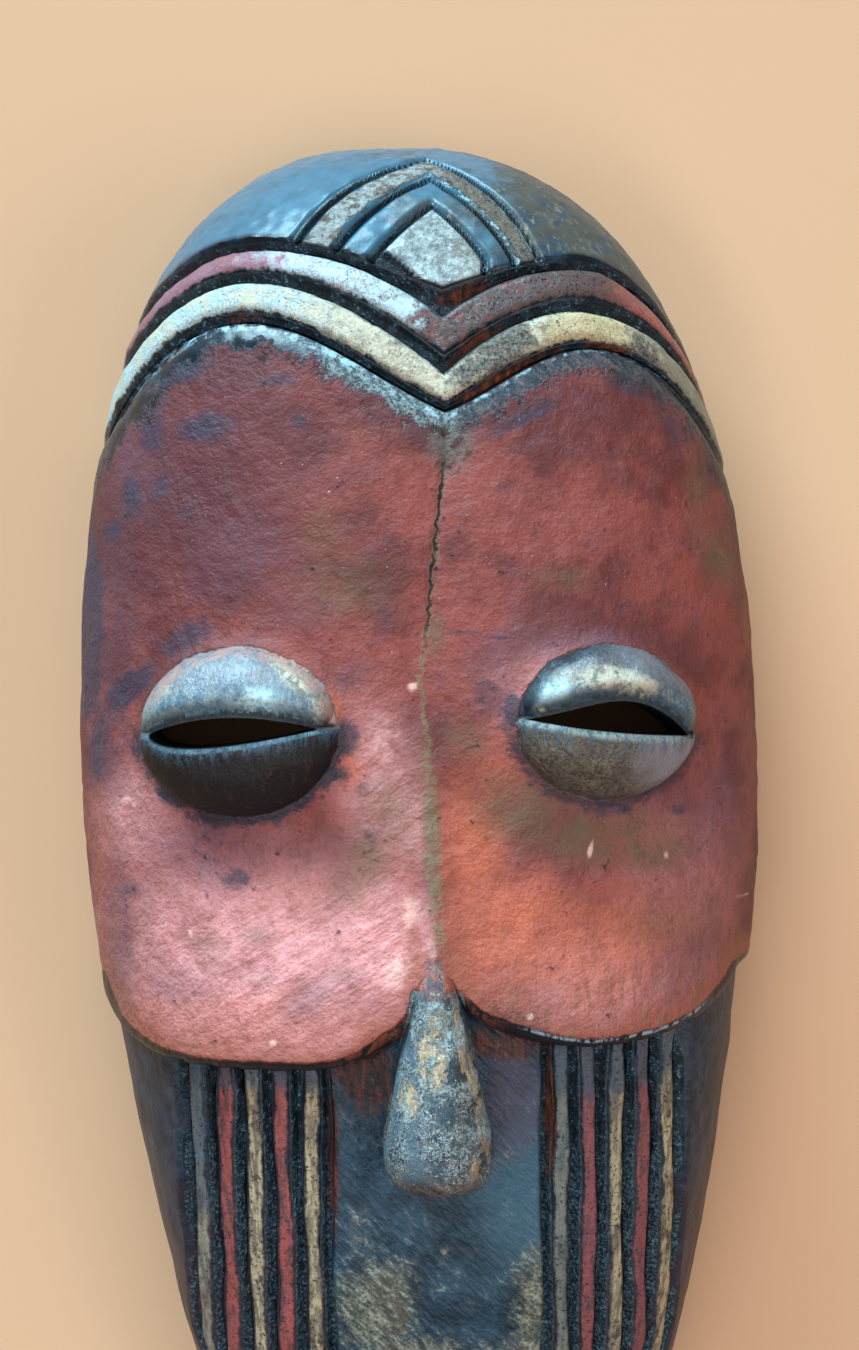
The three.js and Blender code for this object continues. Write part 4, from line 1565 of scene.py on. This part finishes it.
def chevrons(grain, coats):
    """A silvery wrinkled kite, and a chevron that is grey white at the left and dirty tan at the right, with
    pale edges at the right that are painted highlights.
    """
    ring = field("ring")
    above = ramp(field("crown") + grain.flake * 0.6, 0.1, 0.7)
    above = above * (1 - field("shoulder"))
    side = field("sideways") + (grain.uneven - 0.5) * 40
    specks = ramp(grain.grit, 0.6, 0.68) * 0.8
    silver = mix(ramp(grain.uneven, 0.42, 0.6), (160, 174, 178), (104, 114, 114))
    silver = mix(ramp(side, 4, 14) * 0.6, silver, (112, 104, 92))
    silver = mix(specks * 0.4, silver, BLUE_BLACK)
    rough = grain.wrinkle * 3.2 + grain.flake * 0.6
    kite = ragged(CHEVRON_GROOVES[0][0] - ring, grain.uneven, 5)
    coats.coat(kite * above, silver, 0.2, rough)
    right = ramp(side, -4, 10)
    dirty = mix(ramp(grain.uneven, 0.44, 0.58), (92, 86, 78), (44, 46, 48))
    tone = mix(right, mix(ramp(grain.flake, 0.46, 0.62), (132, 140, 142), WORN), dirty)
    tone = mix(specks, tone, BLUE_BLACK)
    far = smaller(ring - CHEVRON_GROOVES[1][1], CHEVRON_GROOVES[2][0] - ring)
    chevron = ragged(far - 0.3, grain.uneven, 10)
    coats.coat(chevron * above, tone, 0.3, rough)
    # Painted highlights along the chevron's edges at the right
    edges = ramp(far, 0.9, 0.4) * ramp(far, -0.8, -0.3)
    edges = edges * right * ramp(grain.flake, 0.46, 0.56) * above
    coats.coat(edges * 0.8, GLINT, 0.28)


def grooves(grain, coats):
    """Dark carved grooves with rough paint and light specks that are painted glint, more of them towards the
    chin, and bare wood where it has gone.
    """
    carved = ramp(field("carved"), 0.35, 0.75)
    tone = mix(ramp(grain.flake, 0.44, 0.6), BLUE_BLACK, (22, 42, 54))
    # Painted highlights: light blue specks stand in for glint on the rough paint
    painted_glints = ramp(grain.grit, 0.56, 0.64) * ramp(grain.flake, 0.46, 0.58)
    tone = mix(painted_glints * 0.8, tone, (96, 128, 140))
    # More painted glint specks in the grooves towards the chin
    low = ramp(field("along"), -40, -62) * ramp(grain.grit, 0.46, 0.6) * 0.6
    tone = mix(low, tone, (72, 98, 112))
    rough = grain.grit * 1.6 + grain.flake * 1.2
    coats.coat(carved, tone, 0.28, rough)
    bare = carved * spotted("bare_spot", grain)
    coats.coat(bare, mix(ramp(grain.streak, 0.36, 0.62), WOOD, WOOD_DARK), 0.6)
    crust = ramp(field("shoulder"), 0.3, 0.7)
    crust_tone = mix(ramp(grain.flake, 0.5, 0.62), BLUE_BLACK, SLATE)
    coats.coat(crust, crust_tone, 0.34, grain.wrinkle * 2)


# Coats of the lower face


def lower_face(grain, coats):
    """Dark sides and a bluer middle, with violet and bare places."""
    below = ramp(field("ledge"), -4, -6)
    centre = ramp(abs(field("place")), 25, 23)
    low = ramp(field("along") + (grain.cloud - 0.5) * 40, -50, -90)
    side_tone = mix(ramp(grain.uneven, 0.42, 0.6), (14, 26, 36), (32, 44, 58))
    side_tone = mix(low * 0.6, side_tone, (52, 38, 44))
    coats.coat(below * (1 - centre), side_tone, 0.42, grain.flake * 0.9)
    middle_tone = mix(ramp(grain.patch, 0.36, 0.7), (10, 32, 46), (32, 60, 78))
    bluer = within("along", -76, -46, 8) * ramp(field("sideways"), 4, 16) * 0.7
    middle_tone = mix(bluer, middle_tone, (52, 86, 104))
    middle_tone = mix(ramp(grain.slant, 0.46, 0.66) * 0.4, middle_tone, (52, 72, 82))
    relief = grain.slant * 1.5 + grain.flake * 0.5
    coats.coat(below * centre, middle_tone, 0.3, relief)
    violet = below * spotted("violet_spot", grain, 2) * 0.6
    coats.coat(violet, (58, 52, 68), 0.4, grain.slant * 0.9)
    bare = below * spotted("bare_spot", grain) * 0.9
    coats.coat(bare, mix(ramp(grain.streak, 0.38, 0.58), (84, 40, 28), WOOD_DARK), 0.45)
    bloom(grain, coats, below * centre)


def bloom(grain, coats, where):
    """Worn olive and cream patches, with whitish ripples that are painted glint on the fine relief, more of
    them towards the chin.
    """
    spot = field("bloom_spot")
    moved = spot + (grain.uneven - 0.5) * 3
    spread = ramp(moved, 0.2, 1) * ramp(spot, 0, 0.2)
    fine = grain.slant * 0.6 + grain.grit * 0.4
    tone = mix(ramp(fine, 0.4, 0.6), (54, 58, 54), (118, 116, 96))
    tone = mix(ramp(grain.patch, 0.52, 0.66) * 0.7, tone, (58, 48, 40))
    coats.coat(where * spread * 0.85, tone, 0.42)
    nearby = ramp(spot + (grain.patch - 0.5) * 3, 0, 0.7)
    # Painted highlights: whitish ripples stand in for glint on the fine relief
    ripples = ramp(grain.slant, 0.5, 0.66) * ramp(grain.grit, 0.4, 0.56) * nearby
    coats.coat(where * ripples * 0.6, (128, 142, 138), 0.34)


def ribs(grain, coats):
    """Cream and red ribs; the outermost is slate, and the paint is duller at the right and at the top."""
    below = ramp(field("ledge"), -8, -10)
    share = ragged(field("rib") - 0.4, grain.uneven, 5) * below
    right = ramp(field("sideways"), -4, 4)
    place = abs(field("place"))
    cream = mix(ramp(grain.streak, 0.4, 0.6), (146, 134, 108), (92, 84, 70))
    cream = mix(ramp(grain.uneven, 0.52, 0.6) * 0.8, cream, (66, 56, 50))
    cream = mix(right * ramp(place, 42, 34) * 0.75, cream, (62, 78, 82))
    outermost = ramp(place, 49, 51) * (1 - right)
    above = ramp(field("along") + grain.patch * 30, -56, -40)
    cream = mix(outermost * blend(above, 0.5, 0.95), cream, (62, 72, 80))
    red = mix(ramp(grain.streak, 0.42, 0.66), (124, 60, 58), (78, 46, 50))
    red = mix(right * 0.4, red, (84, 58, 66))
    colour = mix(ramp(field("rib_red"), 0.4, 0.6), cream, red)
    start = field("ledge") + grain.patch * 14 + right * 7
    colour = mix(ramp(start, -12, -5) * 0.85, colour, (46, 60, 74))
    dirt = ramp(grain.uneven, 0.5, 0.6) * ramp(grain.streak, 0.4, 0.56) * 0.6
    colour = mix(dirt, colour, (48, 46, 48))
    colour = mix(ramp(grain.grit, 0.58, 0.66), colour, BLUE_BLACK)
    coats.coat(share, colour, 0.4, grain.streak * 0.6 + grain.flake * 1)


# Coats of the eyes and of the nose


def eyes(grain, coats):
    """Dark ring round the lower part of each eye, partly dark crust and partly painted shade in the crease
    where the dome meets the plate; then its lower lid, its upper lid and its slit.
    """
    lid = field("lid")
    right = ramp(field("sideways"), -1, 1)
    eye = field("eye") + (grain.uneven - 0.5) * 4
    halo_edge = eye + (grain.uneven - 0.5) * 12
    # Painted shade in the crease round each eye, mixed with dark crust
    halo = ramp(halo_edge, -3.4, -1.2) * ramp(lid, 5, -3)
    coats.coat(halo * blend(right, 0.9, 0.65), mix(grain.flake, BLUE_BLACK, STAIN_AND_SHADE), 0.4)
    on_eye = ramp(eye, -0.3, 0.4)
    lower_relief = grain.streak + grain.grit * 0.4
    lower_gloss = blend(right, 0.6, 0.36)
    coats.coat(on_eye, lower_lid_colour(grain, right), lower_gloss, lower_relief)
    upper = on_eye * ramp(lid, -0.4, 0.4)
    upper_lids(grain, coats, upper, eye, right)
    slit_edges(grain, coats, on_eye, right)


def upper_lids(grain, coats, upper, eye, right):
    """Glossy blue grey with crackle, a painted highlight on the pale spots, cream patches, and a rim that is
    pinkish left and dark right.
    """
    sideways = field("sideways")
    lid = field("lid")
    fine = grain.streak * 0.6 + grain.grit * 0.4
    blue = mix(right, LID_BLUE, (44, 66, 80))
    tone = mix(ramp(fine, 0.42, 0.58), blue, mix(right, (106, 118, 120), (84, 90, 90)))
    high_tone = mix(right, (112, 110, 118), (88, 80, 82))
    tone = mix(ramp(lid, 6, 12) * 0.6, tone, high_tone)
    tone = mix(grain.crackle * 0.7, tone, SLATE)
    # Painted highlight: pale cyan stands in for the window's reflection on the lid
    painted_highlight = field("pale_sheen_and_scratch_spot") * ramp(grain.uneven, 0.56, 0.44) * 0.8
    tone = mix(painted_highlight, tone, mix(grain.crackle, (168, 198, 206), (60, 96, 120)))
    coats.coat(upper, tone, 0.24, grain.flake * 0.6 + grain.streak * 0.6)
    cream = upper * spotted("cream_spot", grain, 4) * blend(right, 0.9, 0.75)
    coats.coat(cream, mix(ramp(grain.flake, 0.45, 0.62), CREAM, CREAM_DIRTY), 0.42, grain.wrinkle)
    edge = ramp(eye, 3.4, 1.6)
    high = larger(ramp(lid, 4, 10), ramp(sideways, -34, -26))
    left_rim = upper * edge * high * (1 - right) * ramp(grain.flake, 0.62, 0.46)
    coats.coat(left_rim * 0.85, mix(grain.patch, (158, 112, 104), (112, 96, 90)), 0.4)
    right_rim = upper * edge * right * ramp(sideways, 42, 30)
    coats.coat(right_rim * 0.85, mix(ramp(grain.flake, 0.5, 0.6), BLUE_BLACK, SLATE), 0.34)


def lower_lid_colour(grain, right):
    """Brown-black on the left eye, partly painted shade of the lid that faces down; olive and lilac grey on
    the right one.
    """
    left_tone = mix(ramp(grain.streak, 0.52, 0.7), LID_BROWN_AND_SHADE, (38, 24, 20))
    fine = grain.slant * 0.35 + grain.grit * 0.65
    right_tone = mix(ramp(fine, 0.36, 0.64), (46, 38, 32), (94, 86, 74))
    right_tone = mix(ramp(grain.patch, 0.4, 0.6) * 0.5, right_tone, (60, 54, 48))
    lilac = ramp(field("sideways") + grain.patch * 16, 48, 60)
    right_tone = mix(lilac, right_tone, (108, 102, 110))
    return mix(right, left_tone, right_tone)


def slit_edges(grain, coats, on_eye, right):
    """Dark ticked margin over each slit, partly painted shade where the upper lid curls into it; a pale
    ticked edge under it; and the cut itself painted near black as painted shade.
    """
    slit = field("slit")
    above = on_eye * ramp(field("lid"), -0.2, 0.6)
    ticks = ramp(grain.streak * 0.8 + grain.grit * 0.2, 0.42, 0.54)
    margin = larger(ramp(slit, 3.8, 1) * ticks, ramp(slit, 1.6, 0.7))
    coats.coat(above * margin * 0.92, BLUE_BLACK, 0.5)
    under = on_eye * ramp(field("lid"), 0.5, -0.5) * ramp(slit, -0.2, 0.2)
    width = slit / blend(right, 1, 1.6)
    fine = grain.streak * 0.6 + grain.grit * 0.4
    faded = ramp(width, 4.6, 0.8) * ramp(fine, 0.44, 0.58) * 0.7
    coats.coat(under * faded, (44, 68, 84), 0.34)
    # A pale ticked line along the slit's lower edge
    rubbed = under * ramp(width, 1.3, 0.6) * ramp(fine, 0.58, 0.46)
    coats.coat(rubbed, mix(right, (60, 80, 90), (94, 102, 100)), 0.4)
    # Painted shade: the cut's walls made near black
    coats.coat(on_eye * ramp(slit, 0.2, -0.3), LID_BROWN_AND_SHADE, 0.6)


def nose_paint(grain, coats):
    """Slate paint flaked down to tan, lighter on the left side as painted light, with light rims, white
    flecks and a rubbed brown tip.
    """
    along = field("along") + (grain.uneven - 0.5) * 20
    aside = abs(field("sideways") + 0.4)
    ridge = ramp(aside, 2.6, 1) * ramp(along, -5, -14) * ramp(grain.flake, 0.62, 0.44)
    narrow = larger(ramp(along, -12, -16), ridge)
    on_nose = ramp(field("nose"), -0.2, 0.1) * narrow
    # Painted light: the nose's left side, towards the window, made lighter than its right
    side = ramp(field("sideways"), 4, -7)
    slate = mix(side, (44, 54, 60), (70, 88, 100))
    slate = mix(ramp(grain.patch, 0.42, 0.58) * 0.75, slate, (88, 80, 70))
    colour = mix(ramp(grain.uneven, 0.46, 0.58), slate, (34, 46, 56))
    rough = grain.wrinkle * 1.6 + grain.flake * 1
    coats.coat(on_nose, colour, 0.3, rough)
    tip = on_nose * ramp(along, -50, -55) * 0.85
    coats.coat(tip, mix(ramp(grain.flake, 0.42, 0.6), (84, 66, 58), (40, 38, 42)), 0.42)
    nose_wear(grain, coats, on_nose)
    flecks = ramp(grain.grit, 0.61, 0.68) * ramp(grain.flake, 0.46, 0.58)
    coats.coat(on_nose * flecks * 0.8, (140, 152, 154), 0.3)
    lines = grain.crackle * ramp(along, -58, -52)
    coats.coat(on_nose * lines * 0.7, (160, 178, 182), 0.34)


def nose_wear(grain, coats, on_nose):
    """Patches flaked down to tan wood, each with a thin light rim."""
    spot = field("cream_spot")
    moved = spot + (grain.uneven - 0.5) * 3
    near = on_nose * ramp(spot, 0, 0.1)
    rim = near * ramp(moved, 0.28, 0.36) * ramp(grain.flake, 0.44, 0.52) * 0.8
    coats.coat(rim, (128, 142, 144), 0.34)
    worn = near * ramp(moved, 0.36, 0.48) * ramp(grain.uneven, 0.6, 0.5)
    tone = mix(ramp(grain.streak, 0.42, 0.6), TAN, (112, 98, 80))
    coats.coat(worn, tone, 0.4, grain.wrinkle * 1.2 - 1.4)


# Bare wood, and all the coats together


def raw_wood(grain, coats):
    """The unpainted hollow, painted near black round the slits as painted shade in the cut."""
    colour = mix(ramp(grain.streak, 0.35, 0.7), (120, 84, 54), (84, 54, 34))
    # Painted shade: the hollow darkened round the slits
    near_slit = ramp(field("eye"), -2, 0) * ramp(field("slit"), 1.5, 0.3)
    colour = mix(near_slit, colour, LID_BROWN_AND_SHADE)
    coats.coat(field("inside"), colour, 0.75, grain.streak)


SPECULAR = 0.24
RELIEF_STRENGTH = 0.8
RELIEF_DEPTH = 0.0007
LAYERS = [
    lower_face,
    red_plate,
    crack_line,
    plate_rim,
    bands,
    chevrons,
    grooves,
    ribs,
    eyes,
    nose_paint,
    raw_wood,
]


def painted_wood():
    grain = Grain()
    coats = blue_black_coat(grain)
    for layer in LAYERS:
        layer(grain, coats)
    shader = tree.nodes["Principled BSDF"]
    shader.inputs["Specular IOR Level"].default_value = SPECULAR
    relief = {"Strength": RELIEF_STRENGTH, "Distance": RELIEF_DEPTH, "Height": coats.height}
    normal = add("ShaderNodeBump", relief).outputs["Normal"]
    tree.links.new(coats.colour.socket, shader.inputs["Base Color"])
    tree.links.new(coats.roughness.socket, shader.inputs["Roughness"])
    tree.links.new(normal, shader.inputs["Normal"])


painted_wood()
mask = make_mask()
write_fields(mask)
mask.data.materials.clear()
mask.data.materials.append(wood)
mask.data.polygons.foreach_set("material_index", np.zeros(len(mask.data.polygons), dtype=np.int32))
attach(mask, "root")
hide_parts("mask")

# Floor, lights and camera

FLOOR_SIZE = 6
FLOOR_HEIGHT = -0.0005
FLOOR_COLOUR = (0.42, 0.258, 0.16, 1)
WORLD_COLOUR = (0.92, 0.96, 1, 1)
WORLD_STRENGTH = 0.16
MASK_MIDDLE = (0, 0, 0.05)


def make_floor():
    bpy.ops.mesh.primitive_plane_add(size=FLOOR_SIZE, location=(0, 0, FLOOR_HEIGHT))
    floor = bpy.context.object
    floor.name = "floor"
    material = new_material("floor")
    shader = material.node_tree.nodes["Principled BSDF"]
    shader.inputs["Base Color"].default_value = FLOOR_COLOUR
    shader.inputs["Roughness"].default_value = 1
    shader.inputs["Specular IOR Level"].default_value = 0
    floor.data.materials.append(material)


def make_light(name, place, size, power, colour, aim=MASK_MIDDLE, spread=180):
    light = bpy.data.lights.new(name, "AREA")
    light.shape = "RECTANGLE"
    light.size, light.size_y = size
    light.energy = power
    light.color = colour
    light.spread = math.radians(spread)
    lamp = bpy.data.objects.new(name, light)
    lamp.location = place
    lamp.rotation_mode = "QUATERNION"
    lamp.rotation_quaternion = (Vector(aim) - Vector(place)).to_track_quat("-Z", "Y")
    bpy.context.scene.collection.objects.link(lamp)


def make_window():
    """Cold daylight from behind the crown, kept off the floor by its narrow spread."""
    place = (-0.8, 2.2, 0.79)
    make_light("window", place, size=(1.8, 1), power=72, colour=(0.54, 0.86, 1), aim=(0, 0.1, 0.6), spread=90)


def make_lights():
    make_window()
    make_light("overhead", (-0.1, 0.1, 1.4), size=(2.2, 1.4), power=18.5, colour=(1, 0.97, 0.97))
    make_light("left_strip", (-0.45, -0.3, 1.05), size=(0.9, 0.2), power=4.8, colour=(1, 0.98, 0.98))
    make_light("fill", (0.85, -0.2, 1.0), size=(0.8, 0.5), power=8.4, colour=(1, 0.92, 0.86))
    world = bpy.data.worlds.new("world")
    world.use_nodes = True
    background = world.node_tree.nodes["Background"]
    background.inputs["Color"].default_value = WORLD_COLOUR
    background.inputs["Strength"].default_value = WORLD_STRENGTH
    bpy.context.scene.world = world


CAMERA_TARGET = Vector((1.475, 52.8, 40)) / 1000
CAMERA_DISTANCE = 0.433
CAMERA_SIDEWAYS = math.radians(2.5)
CAMERA_ROLL = math.radians(-1.1)


def make_camera():
    camera = bpy.data.cameras.new("camera")
    camera.lens = 50
    camera.sensor_width = 36
    camera.clip_start = 0.01
    seat = bpy.data.objects.new("camera", camera)
    back = Vector((-math.sin(CAMERA_SIDEWAYS), 0, math.cos(CAMERA_SIDEWAYS)))
    level_right = Vector((0, 1, 0)).cross(back)
    level_up = back.cross(level_right)
    right = level_right * math.cos(CAMERA_ROLL) + level_up * math.sin(CAMERA_ROLL)
    up = level_up * math.cos(CAMERA_ROLL) - level_right * math.sin(CAMERA_ROLL)
    turn = Matrix((right, up, back)).transposed()
    seat.matrix_world = Matrix.Translation(CAMERA_TARGET + back * CAMERA_DISTANCE) @ turn.to_4x4()
    bpy.context.scene.collection.objects.link(seat)
    bpy.context.scene.camera = seat


make_floor()
make_lights()
make_camera()
bpy.context.scene.view_settings.view_transform = "Standard"
